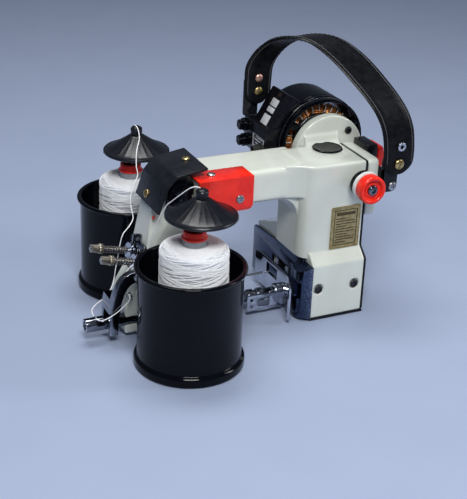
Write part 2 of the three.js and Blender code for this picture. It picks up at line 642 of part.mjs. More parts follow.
// ---------------------------------------------------------------- strap and grip switch
{
  const route = [
    [158, 186], [158, 198], [158, 211], [157, 226], [151, 240], [142, 252], [132, 260], [118, 265], [102, 266],
    [88, 261], [72, 250], [56, 235], [42, 220], [32, 206], [26, 191], [23.5, 174], [23, 158], [23, 142],
  ].map(([y, z]) => new THREE.Vector2(y, z));
  const spline = new THREE.SplineCurve(route);
  const inner = [];
  const outer = [];
  const steps = 32;
  for (let i = 0; i <= steps; i += 1) {
    const p = spline.getPoint(i / steps);
    const d = spline.getTangent(i / steps);
    inner.push([p.x + d.y * STRAP.t / 2, p.y - d.x * STRAP.t / 2]);
    outer.push([p.x - d.y * STRAP.t / 2, p.y + d.x * STRAP.t / 2]);
  }
  const band = extruded(outline([...inner, ...outer.reverse()]), STRAP.w).translate(0, 0, -STRAP.w / 2);
  // World X = width + a share of Y, so the band crosses from rear left to front right.
  const shear = new THREE.Matrix4().set(
    -STRAP.rise, 0, 1, strapX(0),
    1, 0, 0, 0,
    0, 1, 0, 0,
    0, 0, 0, 1,
  );
  place('carry_strap', band.applyMatrix4(shear), leather);

  const xFront = strapX(23);
  const y0 = 23 + STRAP.t / 2 + GAP;
  place('strap_bracket_front', join(
    block(COVER.x1 + GAP, xFront + 5, y0, y0 + 3, 126, 166),
    block(COVER.x1 + GAP, COVER.x1 + 3.3, y0, 52, 126, 152),
  ), black);
  const sy = 23 - STRAP.t / 2 - GAP;
  place('strap_screw_front', screwHead(5, 2.4, sy - 2.4, xFront, 157, 0), brass);
  const xRear = strapX(158);
  const ry = 158 + STRAP.t / 2 + GAP;
  place('strap_bracket_rear', join(
    block(xRear - 14, xRear + 2, ry, ry + 3, 173 + GAP, 212),
    block(xRear - 14, xRear + 14, ry, ry + 3, 192, 212),
  ), black);
}
place('grip_switch', block(COVER.x1 + GAP, 184, 56, 84, 128, 166), black);
place('switch_trigger', join(
  prismY(outline([[185, 130], [189, 130], [195, 150], [192, 162], [187, 162]]), 59, 81),
  rod('y', 59, 81, 187, 131, 3, 16),
), red);

// ---------------------------------------------------------------- sewing threads
const THREAD_R = 0.5;
function threadAlong(name, points) {
  const curve = new THREE.CatmullRomCurve3(points.map((p) => new THREE.Vector3(...p)), false, 'centripetal');
  const section = new THREE.Shape();
  section.absarc(0, 0, THREAD_R, 0, 2 * Math.PI, false);
  const g = new THREE.ExtrudeGeometry(section, {
    extrudePath: curve, steps: 44, bevelEnabled: false, curveSegments: 4,
  });
  place(name, g, thread);
}
threadAlong('front_thread', [
  [-38, -6, 173.8], [-41.4, -2, 173.7], [-45, 3, 170.3], [-49.4, 10, 163], [-54, 22, 151.5], [-56.5, 29, 144], [-60.5, 43, 119],
  [-63.5, 51.5, 95], [-67, 54, 86], [-73, 55.6, 79], [-80, 56.6, 74.6], [-84.5, 57.4, 68.5], [-86, 57.6, 61],
  [-85.2, 56.8, 55], [-84, 52, 50.4], [-84.4, 47, 46], [-88, 45, 42.6], [-97, 44.4, 36], [-106, 44.4, 31], [-112, 46.6, 28.2],
  [-114.8, 51, 26.9], [-114.8, 57.5, 26.1],
]);
threadAlong('rear_thread', [
  [-34, 168, 173.8], [-33.6, 162.8, 173.7], [-33.6, 158, 170.6], [-35.5, 151, 165], [-42, 141, 156.5], [-45.8, 132, 145], [-45.6, 128.5, 137],
  [-50, 125, 130], [-56.2, 120, 119], [-57.6, 115, 109], [-58.5, 107, 101.5], [-65, 99, 97.5], [-74, 93.4, 92],
  [-77.5, 92.4, 82], [-80, 91, 71], [-84, 87, 60], [-88, 81.5, 50.5], [-93, 77.2, 43], [-101, 75.4, 35.6],
  [-109, 74.8, 30.6], [-114, 71, 28.2], [-115.4, 65.6, 26.9], [-115.4, 62.4, 26.1],
]);

export default machine;
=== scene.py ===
import math

import bmesh
import bpy
from mathutils import Matrix, Vector
from mathutils.geometry import tessellate_polygon


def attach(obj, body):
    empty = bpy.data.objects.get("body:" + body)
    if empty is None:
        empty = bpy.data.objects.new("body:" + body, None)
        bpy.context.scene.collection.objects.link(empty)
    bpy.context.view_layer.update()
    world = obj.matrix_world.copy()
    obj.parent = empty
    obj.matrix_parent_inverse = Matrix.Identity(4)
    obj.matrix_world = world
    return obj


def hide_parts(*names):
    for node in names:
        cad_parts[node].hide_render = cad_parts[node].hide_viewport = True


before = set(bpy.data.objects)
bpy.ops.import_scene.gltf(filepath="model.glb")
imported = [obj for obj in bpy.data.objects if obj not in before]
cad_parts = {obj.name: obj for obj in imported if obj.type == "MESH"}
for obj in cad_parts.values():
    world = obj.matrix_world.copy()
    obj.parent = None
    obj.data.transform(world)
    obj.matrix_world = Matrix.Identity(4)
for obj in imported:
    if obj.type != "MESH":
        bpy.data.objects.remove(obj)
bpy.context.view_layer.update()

# A portable bag closer: the looks of the sewing machine around its fixed CAD frame.
# Shapes are made in millimetres in the machine's layout: X from the sewing head to the
# column, Y from front to back, Z up.  LAYOUT takes them to the frame's metres.
CENTRE_X = 39.05
MID_Y = 81.0
LAYOUT = Matrix.Scale(0.001, 4) @ Matrix.Translation((-CENTRE_X, -MID_Y, 0))
LEG = {"y0": 55, "y1": 97}
LEG_TOP = (-55, 124)  # top and bottom of the leg's leaning tension face, as X and Z
LEG_KNEE = (-67, 70)
LEG_LEAN = math.atan2(LEG_TOP[0] - LEG_KNEE[0], LEG_TOP[1] - LEG_KNEE[1])
TENSION_Z = 80
LEG_FACE = LEG_TOP[0] - (LEG_TOP[1] - TENSION_Z) * math.tan(LEG_LEAN)
TENSION_FRAME = LAYOUT @ Matrix.Translation((LEG_FACE, 0, TENSION_Z)) @ Matrix.Rotation(LEG_LEAN, 4, "Y")

ARM = {"x0": -20, "x1": 100, "y0": 42, "y1": 100, "z0": 127, "z1": 160}
COLUMN = {"x0": 90, "x1": 157, "y0": 31, "y1": 88, "z1": 161}
BASE = {"x0": 98.3, "x1": 157, "y0": 20, "y1": 144, "z0": 2.3, "z1": 60, "shoulder": 70}
COVER_X = (159.1, 171)
AXIS_X = 148
MOTOR_Z = 155
WHEEL_Z = 141.4
MAIN_Y = 68
FLANGE = {"r": 39, "x": 149, "z": 148.5, "y0": 93, "y1": 104}
MOTOR = {"r": 47, "wall": 3, "y0": 113, "y1": 172}
LIFTER = {"x": -76, "z": 67.5, "r": 6.2}
BAR = {"y": 60, "z": 18, "r": 5.5, "x0": -125.3, "x1": 83}
NEEDLE = {"y": 82, "z": 30}
POTS = (("front", -45, -6, -38), ("rear", -41, 168, -34))  # name, pot X and Y, spindle X
POT = {"r": 49, "rim": 52.3, "h": 100, "foot": 10, "wall": 1.5}
SPOOL = {"r0": 33.5, "r1": 32, "z0": 6, "z1": 120}
HAT = {"r": 33.5, "z0": 145.5, "neck": 164, "knob": 5.9, "top": 172.5}
LOOSE_CONE = -4.2  # the cone and the hat sit off the spindle's middle, each its own way
LOOSE_HAT = 2.0
STRAP = {"w": 30, "t": 3.2, "rise": 0.669, "y0": 158, "y1": 23, "x0": 97}
BASE_SCREWS = ((106, 34), (147, 33.5))  # X and Z
THREAD_D = 1.0
GAP = 0.3  # clearance between neighbouring pieces


# ---------------------------------------------------------------- camera
def camera():
    """A long lens above the machine's front left, rolled a little."""
    look = Vector((0, 0, 104.69))
    place = Vector((-435.8, -893.5, 573.0))
    forward = (look - place).normalized()
    level = forward.cross(Vector((0, 0, 1))).normalized()
    upright = level.cross(forward)
    roll = math.radians(2.35)
    right = level * math.cos(roll) + upright * math.sin(roll)
    up = upright * math.cos(roll) - level * math.sin(roll)
    data = bpy.data.cameras.new("camera")
    data.lens = 85.8
    data.sensor_width = 36
    data.clip_start = 0.05
    eye = bpy.data.objects.new("camera", data)
    bpy.context.collection.objects.link(eye)
    turn = Matrix((right, up, -forward)).transposed().to_4x4()
    eye.matrix_world = Matrix.Translation(LAYOUT @ place) @ turn
    bpy.context.scene.camera = eye


camera()


# ---------------------------------------------------------------- materials
class Finish:
    """A procedural material: two colours in patches, varied gloss and stacked bumps."""

    def __init__(self, name, dark, light, rough, metal=0.0, patch=12.0, coat=0.0, **sockets):
        self.material = bpy.data.materials.new(name)
        self.material.use_nodes = True
        self.tree = self.material.node_tree
        self.shader = self.tree.nodes["Principled BSDF"]
        self.fill(self.shader, Metallic=metal, Coat_Weight=coat, Coat_Roughness=0.04, **sockets)
        self.where = self.node("TexCoord").outputs["Object"]
        self.normal = None
        self.tint(self.blend(self.noise(patch, 4), dark, light, 0.35, 0.65))
        gloss = self.ramp(self.noise(patch * 0.6, 6), 0.3, 0.7, *rough)
        self.link(gloss, self.shader.inputs["Roughness"])

    def link(self, start, end):
        self.tree.links.new(start, end)

    @staticmethod
    def fill(node, **sockets):
        """Sets sockets by name, an underscore standing for a space."""
        for socket, value in sockets.items():
            node.inputs[socket.replace("_", " ")].default_value = value

    def node(self, kind, **sockets):
        node = self.tree.nodes.new(f"ShaderNode{kind}")
        self.fill(node, **sockets)
        return node

    def space(self, stretch):
        """Object coordinates stretched along X, Y and Z, so features grow along an axis."""
        node = self.node("Mapping", Scale=[1 / s for s in stretch])
        self.link(self.where, node.inputs["Vector"])
        return node.outputs[0]

    def noise(self, size, detail=3, stretch=(1, 1, 1)):
        """Noise whose features are size millimetres across."""
        node = self.node("TexNoise", Scale=1000 / size, Detail=detail)
        self.link(self.space(stretch), node.inputs["Vector"])
        return node.outputs[0]

    def cells(self, size):
        """Distance to the middle of cells that are size millimetres across."""
        node = self.node("TexVoronoi", Scale=1000 / size)
        self.link(self.space((1, 1, 1)), node.inputs["Vector"])
        return node.outputs["Distance"]

    def ramp(self, value, low, high, start=0.0, stop=1.0):
        """Maps low..high onto start..stop."""
        node = self.node("MapRange", From_Min=low, From_Max=high, To_Min=start, To_Max=stop)
        self.link(value, node.inputs["Value"])
        return node.outputs[0]

    def blend(self, factor, first, second, low, high):
        """first where factor is below low, second where it is above high."""
        mix = self.node("Mix")
        mix.data_type = "RGBA"
        self.link(self.ramp(factor, low, high), mix.inputs[0])
        for socket, value in ((mix.inputs[6], first), (mix.inputs[7], second)):
            if isinstance(value, bpy.types.NodeSocket):
                self.link(value, socket)
            else:
                socket.default_value = (*value, 1)
        return mix.outputs[2]

    def tint(self, colour):
        self.colour = colour
        self.link(colour, self.shader.inputs["Base Color"])
        return self

    def bump(self, height, depth, strength):
        """Adds relief of that depth in millimetres on top of the last."""
        node = self.node("Bump", Strength=strength, Distance=depth / 1000)
        self.link(height, node.inputs["Height"])
        if self.normal:
            self.link(self.normal, node.inputs["Normal"])
        self.normal = node.outputs[0]
        self.link(self.normal, self.shader.inputs["Normal"])
        return self

    def grain(self, size, detail, depth, strength, stretch=(1, 1, 1)):
        """Relief from noise."""
        return self.bump(self.noise(size, detail, stretch), depth, strength)

    def worn_edges(self, colour, low, high):
        """Rubs the paint thin where the surface is sharply convex."""
        shape = self.node("NewGeometry")
        breakup = self.node("Math")
        breakup.operation = "MULTIPLY_ADD"
        breakup.inputs[1].default_value = 0.12
        self.link(self.noise(1.5, 5), breakup.inputs[0])
        self.link(shape.outputs["Pointiness"], breakup.inputs[2])
        return self.tint(self.blend(breakup.outputs[0], self.colour, colour, low + 0.06, high + 0.06))

    def specks(self, colour, size, low, high):
        """Small spots of another colour, such as dust or dirt in pores."""
        return self.tint(self.blend(self.noise(size, 2), self.colour, colour, low, high))


def enamel():
    paint = Finish("cream_enamel", (0.60, 0.63, 0.555), (0.66, 0.69, 0.615), (0.14, 0.22), patch=40, coat=0.5)
    paint.specks((0.46, 0.45, 0.38), 1.3, 0.71, 0.8)
    paint.grain(3.5, 2, 0.12, 0.25)
    return paint.grain(14, 2, 0.5, 0.2).worn_edges((0.33, 0.32, 0.28), 0.6, 0.68).material


def gloss_black():
    paint = Finish("gloss_black_enamel", (0.0010, 0.0012, 0.0026), (0.0022, 0.0026, 0.005), (0.06, 0.12),
                   patch=25, coat=0.05, Specular_IOR_Level=0.14)
    paint.specks((0.02, 0.02, 0.026), 0.8, 0.74, 0.8)
    paint.grain(2.5, 2, 0.05, 0.25)
    return paint.worn_edges((0.03, 0.03, 0.034), 0.62, 0.7).material


def hat_black():
    paint = Finish("moulded_hat_black", (0.0022, 0.0026, 0.005), (0.004, 0.0046, 0.008), (0.26, 0.34),
                   patch=14, Specular_IOR_Level=0.4)
    paint.grain(0.6, 2, 0.03, 0.3)
    return paint.worn_edges((0.04, 0.04, 0.046), 0.6, 0.7).material


def satin_black():
    paint = Finish("satin_black_paint", (0.005, 0.006, 0.009), (0.010, 0.011, 0.015), (0.26, 0.38), patch=9,
                   Specular_IOR_Level=0.24)
    paint.grain(0.5, 3, 0.05, 0.4)
    return paint.worn_edges((0.07, 0.075, 0.09), 0.6, 0.7).material


def moulded_black():
    paint = Finish("moulded_black", (0.003, 0.003, 0.005), (0.006, 0.006, 0.009), (0.16, 0.28), patch=6,
                   Specular_IOR_Level=0.3)
    paint.grain(0.35, 2, 0.03, 0.4)
    return paint.worn_edges((0.04, 0.04, 0.045), 0.62, 0.7).material


def red_paint(name="red_enamel"):
    paint = Finish(name, (0.72, 0.014, 0.006), (0.86, 0.026, 0.010), (0.22, 0.32), patch=14, coat=0.15,
                   Specular_IOR_Level=0.35)
    paint.grain(1.6, 2, 0.06, 0.3)
    return paint.worn_edges((0.42, 0.03, 0.02), 0.6, 0.7).material


def chrome():
    metal = Finish("chrome_plate", (0.50, 0.52, 0.58), (0.60, 0.62, 0.68), (0.05, 0.13), metal=1, patch=10)
    metal.grain(0.4, 2, 0.01, 0.35, (8, 1, 1))
    return metal.specks((0.26, 0.27, 0.32), 0.9, 0.72, 0.8).material


# Chrome tinted dark blue: the colour is a painted reflection of the dark blue surroundings, and sharp edges
# are made lighter.
def chrome_with_painted_reflection():
    metal = Finish("chrome_plate_painted_reflection", (0.038, 0.055, 0.10), (0.062, 0.085, 0.145), (0.07, 0.16), metal=1,
                   patch=14)
    metal.grain(0.4, 2, 0.01, 0.35, (1, 1, 8))
    return metal.worn_edges((0.45, 0.48, 0.55), 0.56, 0.64).material


def grey_chrome():
    metal = Finish("greyed_chrome_plate", (0.17, 0.18, 0.21), (0.27, 0.29, 0.33), (0.06, 0.14), metal=1,
                   patch=12)
    metal.grain(0.4, 2, 0.01, 0.35, (8, 1, 1))
    return metal.worn_edges((0.55, 0.57, 0.62), 0.58, 0.68).material


def steel():
    metal = Finish("machined_steel", (0.36, 0.36, 0.38), (0.50, 0.50, 0.52), (0.22, 0.36), metal=1, patch=5)
    return metal.grain(0.35, 3, 0.03, 0.4, (1, 1, 9)).material


def brass():
    metal = Finish("dull_brass", (0.42, 0.31, 0.13), (0.60, 0.47, 0.23), (0.24, 0.38), metal=1, patch=4)
    metal.specks((0.16, 0.11, 0.05), 0.7, 0.66, 0.78)
    return metal.grain(0.3, 3, 0.03, 0.4, (9, 1, 1)).material


def copper():
    metal = Finish("enamelled_copper", (0.42, 0.14, 0.035), (0.66, 0.28, 0.08), (0.22, 0.36), metal=0.55,
                   patch=3)
    return metal.grain(0.5, 2, 0.08, 0.5, (1, 6, 1)).material


def leather():
    hide = Finish("black_leather", (0.0025, 0.0028, 0.004), (0.006, 0.0065, 0.008), (0.24, 0.4), patch=7,
                  Specular_IOR_Level=0.15)
    hide.bump(hide.cells(1.1), 0.16, 0.5)
    hide.grain(0.5, 3, 0.05, 0.5)
    hide.grain(12, 2, 0.5, 0.4, (3, 1, 1))
    return hide.worn_edges((0.04, 0.038, 0.036), 0.58, 0.68).material


def cotton(name="white_thread", tone=(0.90, 0.91, 0.92)):
    shade = tuple(c * 0.93 for c in tone)
    yarn = Finish(name, shade, tone, (0.62, 0.8), patch=2.5, Sheen_Weight=0.3)
    return yarn.grain(0.25, 3, 0.05, 0.6, (1, 1, 2)).material


def plain(name, tone, rough, metal=0.0):
    """A small plain finish, still with its own grain."""
    shade = tuple(c * 0.82 for c in tone)
    paint = Finish(name, shade, tone, (rough, rough * 1.4), metal=metal, patch=5)
    return paint.grain(0.6, 3, 0.03, 0.4).material


ENAMEL = enamel()
GLOSS = gloss_black()
HAT_BLACK = hat_black()
SATIN = satin_black()
MOULDED = moulded_black()
RED = red_paint()
CHROME = chrome()
REFLECTION_PAINTED_CHROME = chrome_with_painted_reflection()
GREY_CHROME = grey_chrome()
STEEL = steel()
BRASS = brass()
COPPER = copper()
LEATHER = leather()
COTTON = cotton()
# White thread painted grey for the spool's core: painted shade in the gaps between the strands.
PAINTED_SHADE_COTTON = cotton("white_thread_painted_shade", (0.52, 0.54, 0.58))
RED_PLASTIC = red_paint("red_plastic")
GREY_TUBE = plain("grey_card_tube", (0.30, 0.32, 0.34), 0.6)
PALE_MARK = plain("pale_printed_panel", (0.62, 0.63, 0.64), 0.4)
WHITE_RING = plain("white_ring", (0.70, 0.71, 0.68), 0.3)
DARK_STEEL = plain("blackened_steel", (0.05, 0.05, 0.055), 0.3, 0.9)
RUBBER = plain("black_rubber", (0.012, 0.012, 0.012), 0.55)
STITCH = plain("waxed_stitch", (0.06, 0.06, 0.064), 0.5)
DARK_BRASS = plain("filled_brass_lines", (0.10, 0.075, 0.035), 0.4, 0.6)
SPRING_STEEL = plain("oiled_spring_steel", (0.16, 0.13, 0.10), 0.22, 1)
NICKEL = plain("dull_nickel", (0.50, 0.45, 0.36), 0.26, 1)
ROSE_RIVET = plain("copper_rivet", (0.62, 0.36, 0.28), 0.3, 0.8)

# ---------------------------------------------------------------- mesh helpers
def spot(along, a, b, t):
    """The point at t along an axis and at a, b across it."""
    return {"x": (t, a, b), "y": (a, t, b), "z": (a, b, t)}[along]


def rounded(points, radius, steps=4, closed=False):
    """The outline with each corner turned into a small arc; ends of an open one stay."""
    if radius <= 0:
        return list(points)
    result = []
    count = len(points)
    for i, point in enumerate(points):
        corner = Vector(point)
        if not closed and i in (0, count - 1):
            result.append(tuple(corner))
            continue
        before = Vector(points[i - 1]) - corner
        after = Vector(points[(i + 1) % count]) - corner
        reach = min(radius, 0.45 * before.length, 0.45 * after.length)
        a = corner + before.normalized() * reach
        b = corner + after.normalized() * reach
        for k in range(steps + 1):
            t = k / steps
            result.append(tuple(a * (1 - t) ** 2 + corner * 2 * t * (1 - t) + b * t * t))
    return result


def full_turn(count):
    """Angles evenly round a circle, in radians."""
    return [2 * math.pi * k / count for k in range(count)]


def arc(cx, cy, r, start, stop, steps=12):
    """Points on a circle, from start to stop degrees."""
    turns = [math.radians(start + (stop - start) * k / steps) for k in range(steps + 1)]
    return [(cx + r * math.cos(t), cy + r * math.sin(t)) for t in turns]


def bezier(p0, p1, p2, p3, steps=14):
    result = []
    for k in range(1, steps + 1):
        t = k / steps
        weights = ((1 - t) ** 3, 3 * t * (1 - t) ** 2, 3 * t * t * (1 - t), t ** 3)
        result.append(tuple(sum(w * p[i] for w, p in zip(weights, (p0, p1, p2, p3))) for i in (0, 1)))
    return result


def outward(bm):
    """Turns every face of a closed shape outwards."""
    bmesh.ops.recalc_face_normals(bm, faces=bm.faces[:])
    if bm.calc_volume(signed=True) < 0:
        bmesh.ops.reverse_faces(bm, faces=bm.faces[:])
    return bm


def bridge(bm, pairs, sides):
    """Faces between pairs of rings, either of which may be a single point."""
    for low, high in pairs:
        for k in range(sides):
            n = (k + 1) % sides
            corners = [low[k % len(low)], low[n % len(low)], high[n % len(high)], high[k % len(high)]]
            corners = list(dict.fromkeys(corners))
            if len(corners) > 2:
                bm.faces.new(corners)


def lathe(profile, along="z", a=0.0, b=0.0, sides=96):
    """A turned solid. profile holds (radius, place along the axis) and ends on the axis or closes."""
    bm = bmesh.new()
    rings = []
    for r, t in profile:
        if r < 1e-6:
            rings.append([bm.verts.new(spot(along, a, b, t))])
            continue
        rings.append([bm.verts.new(spot(along, a + r * math.cos(w), b + r * math.sin(w), t))
                      for w in full_turn(sides)])
    loops = list(zip(rings, rings[1:]))
    if len(rings[0]) > 1:
        loops.append((rings[-1], rings[0]))
    bridge(bm, loops, sides)
    return outward(bm)


def turned(points, radius=0.5, **options):
    """A turned solid with its corners rounded."""
    return lathe(rounded(points, radius, 3), **options)


def rod(along, t0, t1, a, b, r, edge=0.3, sides=64):
    """A plain round bar from t0 to t1."""
    return turned([(0, t0), (r, t0), (r, t1), (0, t1)], edge, along=along, a=a, b=b, sides=sides)


def soften(bm, edge, angle=30, segments=2):
    """Rounds every edge sharper than angle."""
    sharp = [e for e in bm.edges if len(e.link_faces) == 2 and e.calc_face_angle(0) > math.radians(angle)]
    if edge > 0 and sharp:
        bmesh.ops.bevel(bm, geom=sharp, offset=edge, offset_type="OFFSET", segments=segments,
                        profile=0.5, affect="EDGES", clamp_overlap=True)
    return bm


def slab(outline, along, t0, t1, holes=(), edge=0.4):
    """An outline pushed along an axis, with holes, its edges rounded."""
    bm = bmesh.new()
    loops = [list(outline), *[list(h) for h in holes]]
    flat = [p for loop in loops for p in loop]
    low = [bm.verts.new(spot(along, *p, t0)) for p in flat]
    high = [bm.verts.new(spot(along, *p, t1)) for p in flat]
    start = 0
    for loop in loops:
        for k in range(len(loop)):
            i = start + k
            j = start + (k + 1) % len(loop)
            bm.faces.new((low[i], low[j], high[j], high[i]))
        start += len(loop)
    for i, j, k in tessellate_polygon([[Vector((*p, 0)) for p in loop] for loop in loops]):
        bm.faces.new((low[i], low[j], low[k]))
        bm.faces.new((high[k], high[j], high[i]))
    outward(bm)
    bmesh.ops.dissolve_limit(bm, angle_limit=0.002, verts=bm.verts[:], edges=bm.edges[:])
    return soften(bm, edge)


def block(x0, x1, y0, y1, z0, z1, edge=0.4):
    return slab([(x0, y0), (x1, y0), (x1, y1), (x0, y1)], "z", z0, z1, edge=edge)


def _scratch(bm):
    mesh = bpy.data.meshes.new("scratch")
    bm.to_mesh(mesh)
    bm.free()
    obj = bpy.data.objects.new("scratch", mesh)
    bpy.context.collection.objects.link(obj)
    return obj


def _evaluated(obj, helpers=()):
    """The object's mesh after its modifiers, as a bmesh; the scratch objects are removed."""
    graph = bpy.context.evaluated_depsgraph_get()
    graph.update()
    mesh = bpy.data.meshes.new_from_object(obj.evaluated_get(graph))
    bm = bmesh.new()
    bm.from_mesh(mesh)
    for o in (obj, *helpers):
        bpy.data.objects.remove(o)
    bpy.data.meshes.remove(mesh)
    return bm


def shaped(base, tools, operation):
    host = _scratch(base)
    helpers = [_scratch(t) for t in tools]
    for helper in helpers:
        step = host.modifiers.new("boolean", "BOOLEAN")
        step.operation = operation
        step.solver = "EXACT"
        step.object = helper
    return _evaluated(host, helpers)


def fused(base, *tools):
    return shaped(base, tools, "UNION")


def carved(base, *tools):
    return shaped(base, tools, "DIFFERENCE")


def cast_skin(bm, voxel=0.9, passes=6):
    """A sand casting's soft skin: every edge and inside corner of the solid flows over."""
    host = _scratch(bm)
    grid = host.modifiers.new("grid", "REMESH")
    grid.mode = "VOXEL"
    grid.voxel_size = voxel
    ease = host.modifiers.new("ease", "SMOOTH")
    ease.factor = 0.6
    ease.iterations = passes
    return _evaluated(host)


def joined(*parts):
    """Several closed shapes as one mesh."""
    whole = bmesh.new()
    for part in parts:
        mesh = bpy.data.meshes.new("part")
        part.to_mesh(mesh)
        part.free()
        whole.from_mesh(mesh)
        bpy.data.meshes.remove(mesh)
    return whole


def piece(name, bm, finish, body="machine", stands_for=(), place=LAYOUT, angle=38):
    """Makes a shown piece from a mesh in layout millimetres and lets it ride on its body."""
    mesh = bpy.data.meshes.new(name)
    bm.to_mesh(mesh)
    bm.free()
    mesh.transform(place)
    mesh.shade_smooth()
    mesh.set_sharp_from_angle(angle=math.radians(angle))
    obj = bpy.data.objects.new(name, mesh)
    bpy.context.collection.objects.link(obj)
    mesh.materials.append(finish)
    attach(obj, body)
    if stands_for:
        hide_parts(*stands_for)
    return obj


def wire(points, radius, sides=10, closed=False):
    """A round wire along points, its frame carried along so that it never twists."""
    path = [Vector(p) for p in points]
    count = len(path)
    bm = bmesh.new()
    rings = []
    across = None
    for i, centre in enumerate(path):
        if closed:
            ahead = path[(i + 1) % count] - path[i - 1]
        else:
            ahead = path[min(i + 1, count - 1)] - path[max(i - 1, 0)]
        ahead.normalize()
        if across is None:
            across = ahead.orthogonal().normalized()
        across = (across - ahead * across.dot(ahead)).normalized()
        other = ahead.cross(across)
        rings.append([bm.verts.new(centre + (across * math.cos(w) + other * math.sin(w)) * radius)
                      for w in full_turn(sides)])
    pairs = list(zip(rings, rings[1:]))
    if closed:
        pairs.append((rings[-1], rings[0]))
    bridge(bm, pairs, sides)
    if not closed:
        bm.faces.new(rings[0])
        bm.faces.new(rings[-1])
    return outward(bm)


def screw(name, along, face, out, a, b, r, finish=STEEL, drive="slot", stands_for=(),
          turn=20, body="machine", place=LAYOUT, height=None):
    """A screw head standing on a face; out is +1 or -1, the way it looks along the axis."""
    h = height or r * 0.55
    dome = [(0, h), (r * 0.55, h * 0.96), (r * 0.85, h * 0.75), (r, h * 0.4), (r, 0), (0, 0)]
    head = turned([(x, face + out * t) for x, t in dome], 0.2, along=along, a=a, b=b, sides=40)
    depth = sorted((face + out * h * 0.45, face + out * (h + 1)))
    w = math.radians(turn)
    cross = {"slot": (0,), "cross": (0, 90)}.get(drive, ())
    tools = []
    for quarter in cross:
        t = w + math.radians(quarter)
        long = r * (1.3 if drive == "slot" else 0.6)
        c = Vector((math.cos(t), math.sin(t)))
        n = Vector((-c.y, c.x)) * 0.11 * r
        ends = [c * long + n, c * -long + n, c * -long - n, c * long - n]
        tools.append(slab([(a + p.x, b + p.y) for p in ends], along, *depth, edge=0))
    if drive == "hex":
        hexagon = [(a + x, b + y) for x, y in arc(0, 0, r * 0.5, turn, turn + 300, 5)]
        tools.append(slab(hexagon, along, *depth, edge=0))
    return piece(name, carved(head, *tools), finish, body, stands_for, place)


# ---------------------------------------------------------------- sewing threads
def spline_points(points, steps=10):
    """Points on a smooth curve through the given ones."""
    ends = [points[0], *points, points[-1]]
    line = []
    for i in range(1, len(ends) - 2):
        p0, p1, p2, p3 = (Vector(p) for p in ends[i - 1:i + 3])
        for k in range(steps):
            t = k / steps
            line.append(0.5 * ((2 * p1) + (p2 - p0) * t + (2 * p0 - 5 * p1 + 4 * p2 - p3) * t * t
                               + (3 * p1 - p0 - 3 * p2 + p3) * t ** 3))
    line.append(Vector(points[-1]))
    return line


def sewing_thread(name, route):
    """A free sewing thread from the hat's knob through its tension to the presser bar."""
    line = [LAYOUT @ p for p in spline_points(route)]
    curve = bpy.data.curves.new(name, "CURVE")
    curve.dimensions = "3D"
    curve.bevel_depth = THREAD_D / 2000
    curve.bevel_resolution = 3
    spline = curve.splines.new("POLY")
    spline.points.add(len(line) - 1)
    for target, point in zip(spline.points, line):
        target.co = (*point, 1)
    curve.materials.append(COTTON)
    obj = bpy.data.objects.new(f"{name}_run", curve)
    bpy.context.collection.objects.link(obj)
    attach(obj, "machine")
    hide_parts(name)


sewing_thread("front_thread", [
    (-38, -6, 173.8), (-41.4, -2, 173.7), (-45, 3, 170.3), (-49.4, 10, 163), (-54, 22, 151.5),
    (-56.5, 29, 144), (-60.5, 43, 119), (-63.5, 51.5, 95), (-67, 54, 86), (-73, 55.6, 79), (-80, 56.6, 74.6),
    (-84.5, 57.4, 68.5),
    (-86, 57.6, 61), (-85.2, 56.8, 55), (-84, 52, 50.4), (-84.4, 47, 46), (-88, 45, 42.6), (-97, 44.4, 36),
    (-106, 44.4, 31), (-112, 46.6, 28.2), (-114.8, 51, 26.9), (-114.8, 57.5, 26.1),
])
sewing_thread("rear_thread", [
    (-34, 168, 173.8), (-33.6, 162.8, 173.7), (-33.6, 158, 170.6), (-35.5, 151, 165), (-42, 141, 156.5),
    (-45.8, 132, 145), (-45.6, 128.5, 137), (-50, 125, 130), (-56.2, 120, 119), (-57.6, 115, 109),
    (-58.5, 107, 101.5), (-65, 99, 97.5), (-74, 93.4, 92), (-77.5, 92.4, 82), (-80, 91, 71), (-84, 87, 60),
    (-88, 81.5, 50.5), (-93, 77.2, 43), (-101, 75.4, 35.6), (-109, 74.8, 30.6), (-114, 71, 28.2),
    (-115.4, 65.6, 26.9), (-115.4, 62.4, 26.1),
])


